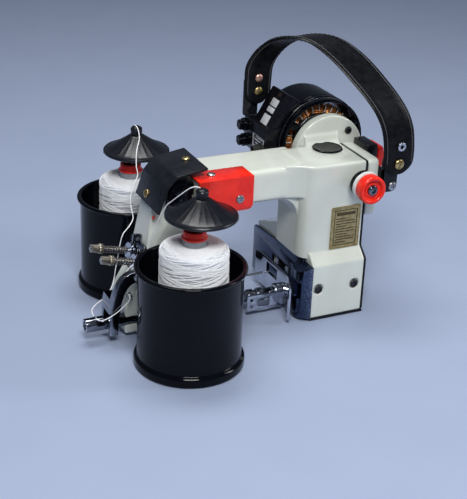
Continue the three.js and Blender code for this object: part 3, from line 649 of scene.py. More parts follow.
# ---------------------------------------------------------------- frame casting
def casting():
    """Hollow arm, column, foot and motor flange in one skin."""
    a, c, b = ARM, COLUMN, BASE
    section = [(a["y0"], a["z0"]), (a["y1"], a["z0"]), (a["y1"], a["z1"]), (a["y0"], a["z1"])]
    arm = slab(rounded(section, 6, 5, True), "x", a["x0"], a["x1"], edge=0)
    blend = 17  # of the column's front left edge
    start = (c["x0"], c["y0"] + blend)
    round_off = bezier(start, (c["x0"], c["y0"] + 5), (c["x0"] + 5, c["y0"]), (c["x0"] + blend, c["y0"]), 12)
    plan = [(c["x1"], c["y0"]), (c["x1"], c["y1"]), (c["x0"], c["y1"]), start, *round_off]
    column = slab(plan, "z", b["z1"] - 5, c["z1"], edge=0)
    soften(column, 2.2, 60, 3)
    r = 22
    bend = arc(c["x0"] - r, a["z0"] - r, r, 90, 0, 14)
    web = [(c["x0"] + 1, a["z0"] + 1), (c["x0"] - r, a["z0"] + 1), *bend, (c["x0"] + 1, a["z0"] - r)]
    corner = slab(web, "y", c["y0"] + 14, c["y1"], edge=0)
    lower = block(b["x0"], b["x1"], b["y0"], b["y1"], b["z0"], b["z1"], edge=1.2)
    slope = slab([(b["y0"], b["z1"] - 0.5), (b["y1"], b["z1"] - 0.5), (c["y1"] + 12, b["shoulder"] + 6),
                  (c["y0"], b["shoulder"])], "x", b["x0"], b["x1"], edge=0)
    flange = rod("y", FLANGE["y0"], FLANGE["y1"], FLANGE["x"], FLANGE["z"], FLANGE["r"], 1.2, 128)
    ridge = slab([(85, c["z1"] - 2), (95, c["z1"] - 2), (95, 170), (92.5, 170.5), (90.5, 169), (88.5, 163.5),
                  (85, 161)],
                 "x", AXIS_X - 29, c["x1"], edge=0)
    sweep = bezier((74, a["y0"] + 0.3), (86, a["y0"]), (90, 37), (c["x0"] + 9, c["y0"] + 1.6), 16)
    cheek = slab([(c["x0"] + 9, a["y0"] + 2), (72, a["y0"] + 2), *sweep], "z", a["z0"] + 1, c["z1"], edge=0)
    side = block(AXIS_X - 30, c["x1"], 86, 94, 100, c["z1"], edge=0)
    pad = block(-12, 26, 36, a["y0"] + 1, 134, 156, edge=0)
    solid = fused(arm, column, corner, lower, slope, flange, ridge, side, pad, cheek)
    rooms = [
        block(a["x0"] - 1, c["x0"] + 9, 50, 92, 134, 154, 0),
        block(c["x0"] + 8, c["x1"] + 1, 39, 84.5, b["z0"] + 8, 155, 0),
        block(c["x0"] - 1, b["x0"], 20, 120, 50, b["z1"] + 3.5, 0),
        block(b["x0"] + 7, b["x1"] + 1, 28, 136, b["z0"] + 7, 52, 0),
        block(b["x0"] - 1, b["x0"] + 8, 62, 104, 22, 42, 0),
        rod("y", 60, 106, AXIS_X, MOTOR_Z, 5, 0, 32),
        rod("y", 30, 41, AXIS_X, WHEEL_Z, 4.2, 0, 32),
        block(c["x1"], 200, 0, FLANGE["y0"], -1, 240, 0),
        *[rod("y", b["y0"] - 1, b["y0"] + 3, x, z, 5.4, 0, 32) for x, z in BASE_SCREWS],
    ]
    return cast_skin(carved(solid, *rooms), 0.85, 7)


piece("enamel_casting", casting(), ENAMEL, stands_for=["frame_casting"], angle=75)


def side_plates():
    """Black plate, end cover and foot plate that close the casting, with their screws."""
    c, b = COLUMN, BASE
    x0 = c["x1"] + GAP
    plan = [(20, b["z0"]), (144, b["z0"]), (144, b["z1"]), (100, 76), (88, 76), (88, c["z1"] - 0.8),
            (31.8, c["z1"] - 0.8), (31.8, b["shoulder"]), (20, b["z1"])]
    seam = slab(rounded(plan, 2.5, 3, True), "x", x0, x0 + 1.5, edge=0.3)
    piece("black_side_plate", seam, SATIN, stands_for=["column_side_plate"])
    face = [(31, 101), (88, 101), (88, c["z1"]), (31, c["z1"])]
    cover = slab(rounded(face, 6, 6, True), "x", *COVER_X, edge=2.2)
    piece("enamel_end_cover", cover, ENAMEL, stands_for=["end_cover"])
    foot = block(b["x0"] - 0.5, b["x1"] + 1.8, b["y0"] - 0.5, b["y1"] + 0.5, 0, b["z0"] - GAP, 0.5)
    piece("black_base_plate", foot, SATIN, stands_for=["base_plate"])
    for k, (y, z) in enumerate(((38, 110), (38, 152), (81, 110), (81, 152))):
        screw(f"end_cover_screw_{k}", "x", COVER_X[1], 1, y, z, 3.2, turn=35 + 50 * k, height=1.4)
    for k, (y, z) in enumerate(((28, 12), (136, 12), (136, 50), (82, 12), (28, 52))):
        screw(f"side_plate_screw_{k}", "x", x0 + 1.5, 1, y, z, 3.4, turn=15 + 40 * k, height=1.6)


side_plates()


def base_screws():
    """Two dark socket screws sunk in the front of the base; the left one stands for the CAD's."""
    for side, (x, z), stands_for in zip(("left", "right"), BASE_SCREWS, (["base_screw"], ())):
        screw(f"base_screw_{side}", "y", BASE["y0"] + 0.6, -1, x, z, 4.4, DARK_STEEL, "hex",
              stands_for, height=1.6)


base_screws()


def nameplate():
    """Brass plate with a raised border, ruled blank fields and four drive pins."""
    y = COLUMN["y0"] - GAP
    x0, x1, z0, z1 = 120.5, 153.5, 71, 116

    def frame_line(inset, width):
        a, b = inset, inset + width
        outer = [(x0 + a, z0 + a), (x1 - a, z0 + a), (x1 - a, z1 - a), (x0 + a, z1 - a)]
        return slab(outer, "y", y - 1.05, y - 0.7, edge=0.06,
                    holes=[[(x0 + b, z0 + b), (x1 - b, z0 + b), (x1 - b, z1 - b), (x0 + b, z1 - b)]])

    plate = slab(rounded([(x0, z0), (x1, z0), (x1, z1), (x0, z1)], 1.5, 4, True), "y", y - 0.8, y, edge=0.15)
    pins = [rod("y", y - 1.3, y - 0.7, x, z, 0.9, 0.2, 20) for x in (x0 + 2.2, x1 - 2.2)
            for z in (z0 + 2.2, z1 - 2.2)]
    piece("brass_nameplate", joined(plate, frame_line(0.5, 0.5), *pins), BRASS,
          stands_for=["nameplate"])
    fields = [frame_line(3.6, 0.7), block(x0 + 6, x1 - 6, y - 1.0, y - 0.7, z1 - 9.5, z1 - 6.2, 0.06)]
    for k in range(10):
        z = z0 + 6.5 + 2.8 * k
        fields.append(block(x0 + 5.6, x0 + (27 if k % 3 else 18), y - 1.0, y - 0.7, z, z + 1, 0.06))
    piece("nameplate_dark_fields", joined(*fields), DARK_BRASS)


nameplate()


def oil_plug():
    """Flat plug with a raised rim in the column's top."""
    x, y, z = 136, 74.5, COLUMN["z1"] + GAP
    cap = turned([(0, z), (15.4, z), (15.4, z + 0.8), (14.2, z + 1.7), (12.6, z + 1.2), (0, z + 0.9)], 0.5,
                 a=x, b=y)
    piece("black_oil_plug", cap, GLOSS, stands_for=["oil_plug"])


oil_plug()
screw("flange_screw", "y", FLANGE["y0"], -1, 169.7, 170.3, 4.0, DARK_STEEL, "cross", turn=70)


def arm_cover():
    """Red folded sheet on the arm's front, held by two cross-head screws."""
    t = 1.5
    top = ARM["z1"] + GAP
    front, left, right, bottom = 31.5, -22, 34, 128
    panel = [(left, top + t), (left, bottom), (right, bottom), (right, top + t)]
    outline = [panel[0], (left, bottom + 6), (left + 4, bottom), *arc(right - 6, bottom + 6, 6, -90, 0, 8),
               panel[3]]
    sheet = fused(slab(outline, "y", front, front + t, edge=0),
                  block(left, right, front, 58, top, top + t, 0),
                  block(right - t, right, front, 41.7, 140, top + t, 0))
    piece("red_arm_cover", soften(sheet, 0.5, 40, 3), RED, stands_for=["arm_cover"])
    screw("cover_top_screw", "z", top + t, 1, -4, 46, 4.2, STEEL, "cross", ["arm_cover_screw_top"])
    screw("cover_front_screw", "y", front, -1, 20, 140, 4.2, STEEL, "cross",
          ["arm_cover_screw_front"], turn=50)


arm_cover()


# ---------------------------------------------------------------- sewing head
def beyond(p1, p2, p3, away):
    """A block on the far side of the plane through three points, towards away."""
    size = 60
    origin, q, r = Vector(p1), Vector(p2), Vector(p3)
    along = (q - origin).normalized()
    normal = along.cross(r - origin).normalized()
    if normal.dot(Vector(away)) < 0:
        normal = -normal
    across = normal.cross(along)
    bm = block(-size, 2 * size, -size, size, 0, size / 2, 0)
    turn = Matrix((along, across, normal)).transposed().to_4x4()
    bm.transform(Matrix.Translation(origin) @ turn)
    return outward(bm)


def head_leg():
    """Cast leg from the arm down to the presser bar, with the rooms for the drive inside."""
    head_x = ARM["x0"] - GAP
    y0, y1 = LEG["y0"], LEG["y1"]
    foot = arc(-28, 58, 12, 270, 180, 8)
    outline = [(head_x, 98), (head_x, 160), (-40, 160), (LEG_TOP[0], 128), LEG_TOP, LEG_KNEE, (-84, 40),
               (-86, 35), (-86, 4), (25, 4), (25, 46), *foot, (-40, 76)]
    body = slab(outline, "y", y0, y1, edge=1.2)
    lugs = [block(-59, -31, 43.6, y0 + 1, 14, 32, 0.8), block(-55, -27, y1 - 1, 118.4, 14, 32, 0.8)]
    ridge = beyond((-49, y0, 105.7), (-79.6, y0, 50.7), (-59.1, 63, 105.7), (-1, -1, 0))
    pivot = fused(rod("y", y0, y0 + 3, LIFTER["x"], LIFTER["z"], 5.5, 0.4, 40),
                  slab([(-77, 62.2), (-64, 58), (-64, 76), (-75, 72.8)], "y", y0, y0 + 3, edge=0))
    rooms = [
        block(-50, head_x + 1, 64, 91, 98, 154, 0),
        block(-72, -35, 72, 92, 12, 62, 0),
        block(-61.2, -42.8, 72, 92, 61, 81, 0),
        block(-59.2, -40, 72, 92, 80, 94, 0),
        block(-54.5, -30, 72, 91, 93, 118, 0),
        block(-48, 12, 74, 90, 20, 40, 0),
        rod("x", -90, 30, BAR["y"], BAR["z"], 6.2, 0, 40),
        rod("x", 0, 30, NEEDLE["y"], NEEDLE["z"], 4.8, 0, 32),
        rod("x", -46, head_x + 1, MAIN_Y, WHEEL_Z, 11.5, 0, 40),
    ]
    return cast_skin(carved(fused(carved(body, ridge), pivot, *lugs), *rooms), 0.85, 5)


piece("enamel_head_leg", head_leg(), ENAMEL, stands_for=["head_leg"], angle=75)


def oil_mark():
    """Red dot on the leg's leaning face."""
    dot = turned([(0, 0.6), (1.6, 0.6), (2, 0.1), (2, -0.6), (0, -0.6)], 0.2, sides=32)
    place = TENSION_FRAME @ Matrix.Translation((0.2, 61, 41)) @ Matrix.Rotation(-math.pi / 2, 4, "Y")
    piece("red_oil_mark", dot, RED, place=place)


oil_mark()


def thickened(line, t):
    """An open polyline given a thickness below it, as an outline."""
    inner = []
    for i, p in enumerate(line):
        before = Vector(line[max(i - 1, 0)])
        after = Vector(line[min(i + 1, len(line) - 1)])
        d = (after - before).normalized()
        inner.append((p[0] - d.y * t, p[1] + d.x * t))
    return [*line, *reversed(inner)]


def head_cover():
    """Black faceted guard over the crank, open towards the arm."""
    fold = rounded([(-9, 171), (-40, 166), (-50, 156), (-59, 131)], 2.5, 4)
    y0 = LEG["y0"] - 13
    sheet = slab(thickened(fold, 2.4), "y", y0, 100, edge=0.5)
    ends = slab([(-57, 131.2), (-48.5, 155), (-39.5, 164), (-30, 165.3), (-30, 160.5), (-41, 160.5),
                 (-55, 131.2)],
                "y", 97.6, 100, edge=0.3)
    rib = slab([(-40, 161.8), (-38, 165), (-22, 168), (-22, 161.8)], "y", 60, 96, edge=0.4)
    piece("black_head_cover", joined(sheet, rib, ends), SATIN, stands_for=["head_cover"])
    slope = math.atan2(5, 31)
    place = LAYOUT @ Matrix.Translation((-18, 74, 169.7)) @ Matrix.Rotation(-slope, 4, "Y")
    screw("head_cover_screw_top", "z", 0, 1, 0, 0, 4.2, BRASS, "slot", ["head_cover_screw"],
          place=place, height=2)
    steep = math.atan2(25, 9)
    place = LAYOUT @ Matrix.Translation((-56.3, 77, 138.6)) @ Matrix.Rotation(-steep, 4, "Y")
    screw("head_cover_screw_side", "z", 0, 1, 0, 0, 4.2, BRASS, "slot", turn=60, place=place,
          height=2)


head_cover()


def bearing_block():
    """Black block in the front of the head with its boss and clamp bolts."""
    y0 = 43
    outline = [(-46, 131), (-24, 131), (-24, 158), (-41, 158), (-47, 148)]
    body = slab(rounded(outline, 2, 3, True), "y", y0, LEG["y0"] - GAP, edge=0.8)
    boss = turned([(0, 40.2), (4.2, 40.2), (4.2, 41.2), (6.2, 41.2), (6.2, y0 + 1), (0, y0 + 1)], 0.4,
                  along="y", a=-34, b=139, sides=48)
    bolt = turned([(0, 40.8), (3.9, 40.8), (3.9, y0 + 1), (0, y0 + 1)], 0.4, along="y", a=-32, b=151, sides=6)
    piece("black_bearing_block", joined(body, boss, bolt), GLOSS,
          stands_for=["head_bearing_block"])


bearing_block()


# ---------------------------------------------------------------- throat plate
def throat_plate():
    """Flat plate on the foot and the curved lip in front of it."""
    x1 = BASE["x0"] - GAP
    x0 = x1 - 2.4
    face = [(36, 2.5), (148, 2.5), (148, 54), (36, 62)]
    slot = [(64, 24), (102, 24), (102, 40), (64, 40)]
    plate = slab(rounded(face, 4, 5, True), "x", x0, x1, holes=[slot], edge=0.5)
    bulge = arc(x0 + 4, 33, 14, 111.6, 237.6, 16)
    lip = slab([(x1, 18), (x1, 40), (x0, 44), *bulge], "z", 2.5, 60, edge=0.5)
    cut = slab([(70, 44), (x1, 60), (x1 + 2, 70), (70, 70)], "y", 10, 60, edge=0)
    pocket = slab(rounded([(22, 24), (34, 24), (36, 40), (24, 42)], 2, 3, True), "x", x0 - 12, x0 - 7, edge=0)
    # The plate's dark blue colour is a painted reflection.
    piece("chrome_throat_plate", joined(plate, carved(lip, cut, pocket)), REFLECTION_PAINTED_CHROME,
          stands_for=["throat_plate"])
    screw("throat_screw_low", "x", x0, -1, 120, 14, 3.2, STEEL, "slot", height=1.2)
    for k, y in enumerate((117, 122)):
        screw(f"throat_pin_{k}", "x", x0, -1, y, 47.5 - k, 1.5, STEEL, "none", height=0.5)


throat_plate()


# ---------------------------------------------------------------- thread pots and spools
def pot(name, x, y):
    """Thread pot with a rolled rim and a stepped foot."""
    w, r, rim, h, foot = POT["wall"], POT["r"], POT["rim"], POT["h"], POT["foot"]
    profile = [(0, 0), (rim - 0.8, 0), (rim, 1), (rim, foot - 2.4), (rim - 1.2, foot - 0.8), (r, foot + 0.6),
               (r, h - 4.4), (rim - 0.6, h - 3.4), (rim, h - 2), (rim - 0.6, h - 0.5), (rim - 1.8, h),
               (r - w, h - 0.4), (r - w, 3), (0, 3)]
    piece(f"{name}_black_pot", turned(profile, 0.8, a=x, b=y, sides=160), GLOSS,
          stands_for=[f"{name}_thread_pot"])


def spindle(name, x, y):
    top = HAT["z0"] + 12
    profile = [(0, 3.3), (14, 3.3), (14, 5), (3, 5.4), (3, top), (0, top)]
    piece(f"{name}_steel_spindle", turned(profile, 0.4, a=x, b=y, sides=48), STEEL,
          stands_for=[f"{name}_spindle"])


def spool_radius(z):
    """Outer radius of the wound thread at a height: straight, then a tight shoulder to a flat top."""
    s = SPOOL
    shoulder = s["z1"] - 8
    if z < shoulder:
        return s["r0"] - 0.7 + (s["r1"] - s["r0"]) * (z - s["z0"]) / (shoulder - s["z0"])
    t = min((z - shoulder) / 8, 1)
    return 13 + (s["r1"] - 13.7) * max(1 - t ** 3, 0) ** 0.4


def wound_spool(name, x, y):
    """Cross-wound thread: a core painted grey as the shade in the gaps between strands, strands laid over it
    both ways, and the tube in its top.
    """
    s = SPOOL
    levels = [s["z0"] + (s["z1"] - s["z0"]) * (1 - (1 - k / 70) ** 1.8) for k in range(71)]
    outside = [(spool_radius(z), z) for z in levels]
    x += LOOSE_CONE
    core = lathe([(8, s["z0"]), *outside, (8, s["z1"])], a=x, b=y, sides=96)
    strands = []
    lays, steps = 50, 140
    for lay in range(lays):
        way = 1 if lay % 2 else -1
        turns = 3.3 + 0.25 * math.sin(1.7 * lay)
        line = []
        for k in range(steps + 1):
            t = k / steps
            z = s["z0"] + 0.6 + (s["z1"] - s["z0"] - 1.2) * (1 - (1 - t) ** 1.8)
            w = way * 2 * math.pi * turns * (1 - (1 - t) ** 1.5) + 2.4 * lay
            r = spool_radius(z) + 0.2 + 0.15 * math.sin(5 * t + 2.4 * lay)
            line.append((x + r * math.cos(w), y + r * math.sin(w), z))
        strands.append(wire(line, 0.42, 5))
    for ring in range(16):
        r = 13.2 + 0.95 * ring
        z = s["z1"] - 8 + 8 * (1 - ((r - 13) / (s["r1"] - 13.7)) ** 2.5) ** (1 / 3) + 0.15
        circle = [(x + r * math.cos(w), y + r * math.sin(w), z) for w in full_turn(72)]
        strands.append(wire(circle, 0.42, 5, closed=True))
    # The core is white thread painted grey, as painted shade between the strands.
    piece(f"{name}_wound_core", core, PAINTED_SHADE_COTTON, f"{name}_spool")
    piece(f"{name}_wound_thread", joined(*strands), COTTON, f"{name}_spool",
          [f"{name}_thread_cone"], angle=60)
    z = s["z1"]
    tube = [(8, z - 2), (10.6, z - 2), (11.6, z + 5), (11.2, z + 6), (8, z + 6), (8, z - 2)]
    piece(f"{name}_card_tube", lathe(tube, a=x, b=y, sides=64), GREY_TUBE, f"{name}_spool")
    insert = [(8, z + 6.2), (12.2, z + 6.2), (12.2, z + 8), (11, z + 9), (10.4, z + 14), (8, z + 14),
              (8, z + 6.2)]
    piece(f"{name}_red_insert", turned(insert, 0.5, a=x, b=y, sides=64), RED_PLASTIC,
          f"{name}_spool")


def hat(name, x, y):
    """Shallow cone with a thick rim, fine radial flutes and a flat knob that the thread runs over."""
    z0, neck, top, r, knob = HAT["z0"], HAT["neck"], HAT["top"], HAT["r"], HAT["knob"]
    x += LOOSE_HAT
    under = [(0, z0 + 13, 0), (7.2, z0 + 13, 0), (8, z0 + 9, 0), (r - 4, z0 + 0.2, 0)]
    rim = [(r - 0.8, z0, 0), (r, z0 + 0.6, 0), (r, z0 + 2.2, 0), (r - 0.7, z0 + 3, 0), (r - 2.2, z0 + 3.3, 0)]
    slope = []
    steps = 14
    for k in range(steps + 1):
        t = k / steps
        slope.append((r - 2.6 + (7 + 2.6 - r) * t, z0 + 3.3 + (neck - z0 - 3.6) * t ** 1.15,
                      0.3 * math.sin(math.pi * t) ** 0.5))
    stem = [(4.8, neck + 0.2, 0), (4.8, neck + 1.8, 0), (knob - 0.5, neck + 2, 0), (knob, neck + 2.6, 0),
            (knob, top - 2.2, 0), (knob - 1, top - 0.8, 0), (knob - 2.4, top, 0), (0, top, 0)]
    bm = bmesh.new()
    sides, flutes = 192, 24
    rings = []
    for radius, z, depth in [*under, *rim, *slope, *stem]:
        ring = []
        for k in range(sides if radius else 1):
            w = 2 * math.pi * k / sides
            rise = -depth * abs(math.sin(w * flutes / 2)) ** 0.6
            ring.append(bm.verts.new((x + radius * math.cos(w), y + radius * math.sin(w), z + rise)))
        rings.append(ring)
    bridge(bm, zip(rings, rings[1:]), sides)
    piece(f"{name}_black_hat", outward(bm), HAT_BLACK, f"{name}_spool", [f"{name}_hat"],
          angle=35)


for pot_name, pot_x, pot_y, spindle_x in POTS:
    pot(pot_name, pot_x, pot_y)
    spindle(pot_name, spindle_x, pot_y)
    wound_spool(pot_name, spindle_x, pot_y)
    hat(pot_name, spindle_x, pot_y)


# ---------------------------------------------------------------- tension units
def tension_unit(name, y, z, reach, turns):
    """Post, two dished discs, spring and knurled nut, square to the leaning leg."""
    base = -3.3
    end = base - reach
    options = {"along": "x", "a": y, "b": z}
    thread_form = [(1.8 if k % 2 else 1.55, end + 0.4 * k) for k in range(1, int((reach - 6) / 0.4))]
    post = [(0, end), (1.4, end), *thread_form, (1.8, base - 3), (1.8, base - 1.3), (3, base - 1.2),
            (3, base), (0, base)]
    piece(f"{name}_threaded_post", lathe(post, sides=32, **options), STEEL,
          stands_for=[f"{name}_tension_post"], place=TENSION_FRAME)
    d = base - 4.7
    dish = [(2.1, d + 0.8), (4.4, d + 1.0), (7.4, d), (7.8, d + 0.1), (7.8, d + 0.4), (4.6, d + 1.5),
            (4.6, d + 1.7),
            (7.8, d + 2.8), (7.8, d + 3.1), (7.4, d + 3.2), (4.4, d + 2.2), (2.1, d + 2.4), (2.1, d + 0.8)]
    piece(f"{name}_dished_discs", lathe(dish, sides=72, **options), CHROME,
          stands_for=[f"{name}_tension_discs"], place=TENSION_FRAME)
    n = end + 13.2
    start = d - 0.85
    length = start - n - 0.85
    count = turns * 28
    coil = []
    for k in range(count + 1):
        u = k / count
        w = u * turns * 2 * math.pi
        coil.append((start - u * length, y + 3.2 * math.cos(w), z + 3.2 * math.sin(w)))
    piece(f"{name}_coil_spring", wire(coil, 0.6, 12), SPRING_STEEL,
          stands_for=[f"{name}_tension_spring"], place=TENSION_FRAME, angle=60)
    teeth = 26
    knurl = []
    for k in range(teeth * 2):
        w = math.pi * k / teeth
        r = 4.9 if k % 2 else 4.5
        knurl.append((y + r * math.cos(w), z + r * math.sin(w)))
    ring = [(y + 2.1 * math.cos(w), z + 2.1 * math.sin(w)) for w in full_turn(24)]
    grip = slab(knurl, "x", n - 4, n, holes=[ring], edge=0.2)
    sleeve = lathe([(2.1, n - 12), (3.6, n - 12), (4, n - 11.6), (4.3, n - 4.2), (2.1, n - 4.2),
                    (2.1, n - 12)],
                   sides=48, **options)
    piece(f"{name}_knurled_nut", joined(grip, sleeve), NICKEL, f"{name}_nut",
          [f"{name}_tension_nut"], TENSION_FRAME)


def tension_bracket():
    """Grey plate on the leaning leg face, with the ear that leads the thread."""
    ear = slab(rounded([(-11, 8), (-2, 8), (-2, 20), (-11, 20)], 3, 5, True), "y", 70, 72,
               holes=[arc(-6.5, 15, 1.6, 0, 345, 23)], edge=0.3)
    plate = slab(rounded([(58, -9.5), (94, -9.5), (94, 12), (58, 12)], 4, 5, True), "x", -3, -0.3, edge=0.4)
    piece("steel_tension_bracket", joined(plate, ear), GREY_CHROME, stands_for=["tension_bracket"],
          place=TENSION_FRAME)


tension_bracket()
tension_unit("rear", 83, -2.5, 44.2, 9)
tension_unit("front", 66, -7.1, 38.5, 7)


def thread_eyelet():
    """Wire loop on the leg that leads the front thread past the lifter."""
    loop = [(-84.2 + 2.5 * math.cos(w), 49.5 + 0.8 * math.sin(w), 48.2 + 2.5 * math.sin(w))
            for w in full_turn(32)]
    stem = [(-82.2, 50, 46.7), (-81, 51, 45.6), (-79.5, 53, 44.6), (-78.5, 56, 44)]
    piece("thread_eyelet", joined(wire(loop, 0.75, 10, closed=True), wire(stem, 0.75, 10)), CHROME,
          angle=60)


thread_eyelet()


# ---------------------------------------------------------------- presser and lifter
def lifter():
    """Curved lever with a forked end over the presser bar."""
    inner = bezier((-79, 62), (-90, 60), (-95, 40), (-96, 9))
    outer = bezier((-104, 9), (-105, 47), (-98, 72), (-79, 73))
    px, pz = LIFTER["x"], LIFTER["z"]
    hub = arc(px, pz, LIFTER["r"], 117, -117, 12)
    outline = [(-79, 62), *inner, (-104, 9), *outer, *hub]
    y0, y1 = LEG["y0"] - 8.5, BAR["y"] + 13
    fork = carved(slab(outline, "y", y0, y1, edge=0), block(-120, -60, 0, 120, 45, 100, 0))
    lever = fused(slab(outline, "y", y0, LEG["y0"] - 0.4, edge=0), fork)
    lever = carved(lever, block(-110, -83, BAR["y"] - 7.6, BAR["y"] + 7.6, 0, 30, 0),
                   rod("y", 40, 80, px, pz, 2.3, 0, 32))
    piece("chrome_lifter_lever", soften(lever, 0.9, 35, 3), GREY_CHROME, "lifter_lever",
          ["lifter_lever"])
    screw("lifter_pivot_head", "y", y0 - GAP, -1, px, pz, 4.5, STEEL, "slot", ["lifter_pivot_screw"],
          turn=35)


lifter()


def presser_bar():
    """Stepped bar with a split, hollow outer end."""
    b = BAR
    steps = [(b["x0"], -107, 7), (-107, -87, 6.7), (-87, 46, b["r"]), (46, 52, 7), (52, 57, b["r"]),
             (57, 63, 7), (63, b["x1"] - 2, b["r"])]
    profile = [(0, b["x0"])]
    for start, stop, r in steps:
        profile += [(r, start), (r, stop)]
    profile.append((0, b["x1"] - 2))
    bar = turned(profile, 0.5, along="x", a=b["y"], b=b["z"], sides=80)
    split = block(b["x0"] - 1, b["x0"] + 18, b["y"] - 1, b["y"] + 1, b["z"] - 8, b["z"] + 8, 0)
    mouth = rod("x", b["x0"] - 1, b["x0"] + 9, b["y"], b["z"], 4.4, 0, 40)
    piece("chrome_presser_bar", carved(bar, split, mouth), GREY_CHROME, "presser", ["presser_bar"])
    for k, x in enumerate((49, 60)):
        screw(f"collar_screw_{k}", "y", b["y"] - 7, -1, x, b["z"], 2.2, DARK_STEEL, "slot",
              body="presser", turn=20 + 50 * k, height=0.8)


presser_bar()


def presser_foot():
    """Upright foot plate with a bent sole, and the flat link arm beside it."""
    x0 = BAR["x1"]
    front = bezier((x0 - 8, 20), (x0 + 0, 32), (x0 + 4.4, 41), (x0 + 5, 52), 10)
    back = bezier((x0 + 1.8, 52), (x0 + 1.3, 44), (x0 - 3, 33), (x0 - 10.5, 22), 10)
    outline = [(x0 - 8, 20), *front, (x0 + 5, 108), (x0 + 1, 116), (x0 - 1, 115), (x0 + 1.8, 107),
               (x0 + 1.8, 52), *back]
    sole = slab(outline, "z", 5, 40, edge=0.5)
    hole = block(x0, x0 + 7, NEEDLE["y"] - 12, NEEDLE["y"] + 12, NEEDLE["z"] - 6, NEEDLE["z"] + 6, 0)
    hub = rod("x", x0 - 8, x0 + 3, BAR["y"], BAR["z"], 8.5, 0.8, 64)
    link = block(70, x0 - 1, 50, BAR["y"], 8, 22, 0.6)
    socket = rod("x", x0 - 14, x0 - 1.7, BAR["y"], BAR["z"], BAR["r"] + 0.3, 0, 48)
    arm_face = [(42, 6), (82, 6), (82, 23), (42, 23)]
    window = rounded([(54, 10.5), (67, 9.5), (67, 19.5), (54, 18.5)], 2, 4, True)
    holes = [arc(47, z, 1.7, 0, 345, 23) for z in (11, 18)]
    arm = slab(rounded(arm_face, 2, 4, True), "y", 49.5, 51.5, holes=[window, *holes], edge=0.3)
    piece("chrome_presser_foot", joined(carved(sole, hole), carved(fused(hub, link), socket), arm), CHROME,
          "presser", ["presser_foot"])


presser_foot()


# ---------------------------------------------------------------- drive parts
def dress(node, finish):
    """Gives a CAD node its finish and fine rounded edges."""
    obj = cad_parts[node]
    for place in obj.material_slots:
        place.material = finish
    if not obj.material_slots:
        obj.data.materials.append(finish)
    step = obj.modifiers.new("edge", "BEVEL")
    step.width = 0.35 / 1000
    step.segments = 2
    step.limit_method = "ANGLE"
    step.angle_limit = math.radians(50)


for inner_node in ("needle_bar", "needle_rocker", "main_shaft", "lower_shaft", "looper", "feed_dog"):
    dress(inner_node, STEEL)
dress("arm_bush", BRASS)


def hand_wheel():
    """Red wheel, white and black discs behind it, and the socket screw in its middle."""
    x, z = AXIS_X, WHEEL_Z
    options = {"along": "y", "a": x, "b": z, "sides": 128}
    profile = [(3.9, 4.2), (7.6, 4.2), (7.6, 5.4), (9.4, 5.4), (10.2, 2.2), (11.2, 1.3), (13, 1.3),
               (13.9, 2.2), (14.2, 3.6), (14.2, 11.2), (13.4, 12.6), (3.9, 12.6), (3.9, 4.2)]
    wheel = lathe(rounded(profile[:-1], 0.6, 3, True), **options)
    piece("red_hand_wheel", wheel, RED, "wheel_shaft", ["hand_wheel"])
    shaft = [(0, 3), (3.4, 3), (3.4, 55), (9, 55), (9, 58.6), (5, 62.6), (3.5, 62.6), (3.5, 79), (9.2, 79),
             (9.2, 84), (0, 84)]
    piece("steel_wheel_shaft", turned(shaft, 0.3, **options), STEEL, "wheel_shaft", ["wheel_shaft"])
    white = [(3.6, 13), (14.8, 13), (14.8, 17), (3.6, 17)]
    piece("white_wheel_ring", lathe(rounded(white, 0.6, 3, True), **options), WHITE_RING,
          "wheel_shaft")
    dark = [(3.6, 17.2), (13.6, 17.2), (13.6, 24), (6.4, 24), (6.4, 30.3), (3.6, 30.3)]
    piece("black_wheel_disc", lathe(rounded(dark, 0.7, 3, True), **options), GLOSS,
          "wheel_shaft")
    screw("wheel_socket_screw", "y", 4.4, -1, x, z, 5.4, GREY_CHROME, "hex", body="wheel_shaft",
          height=3.2)


hand_wheel()


# ---------------------------------------------------------------- motor
def motor():
    m = MOTOR
    y, r = m["y0"], m["r"]
    inner = r - m["wall"]
    options = {"along": "y", "a": AXIS_X, "b": MOTOR_Z}
    shell = [(inner, y + 0.4), (r - 1.4, y), (r, y + 1.4), (r, y + 5), (r - 0.5, y + 5.4), (r - 0.5, y + 6.2),
             (r, y + 6.6), (r, y + 46), (r - 0.8, y + 50), (r - 3, y + 54), (r - 7, y + 57),
             (r - 13, y + 58.6), (22, y + 59),
             (10, y + 59), (10, y + 56), (r - 12, y + 55), (inner - 0.5, y + 47)]
    housing = lathe(rounded(shell, 1.2, 4, True), sides=160, **options)
    slots = []
    for k in range(10):
        w = 2 * math.pi * (k + 0.5) / 10
        c = Vector((math.cos(w), math.sin(w)))
        n = Vector((-c.y, c.x)) * 2
        corners = [c * 24 + n, c * 35 + n, c * 35 - n, c * 24 - n]
        outline = rounded([(AXIS_X + p.x, MOTOR_Z + p.y) for p in corners], 1.9, 3, True)
        slots.append(slab(outline, "y", y + 50, y + 62, edge=0))
    piece("black_motor_housing", carved(housing, *slots), GLOSS, stands_for=["motor_housing"])
    rim = [(inner + 0.2, y - 0.3), (r - 0.9, y - 0.3), (r - 0.9, y + 0.2), (inner + 0.2, y + 0.2)]
    piece("motor_rim_line", lathe(rounded(rim, 0.15, 2, True), sides=128, **options), STEEL)


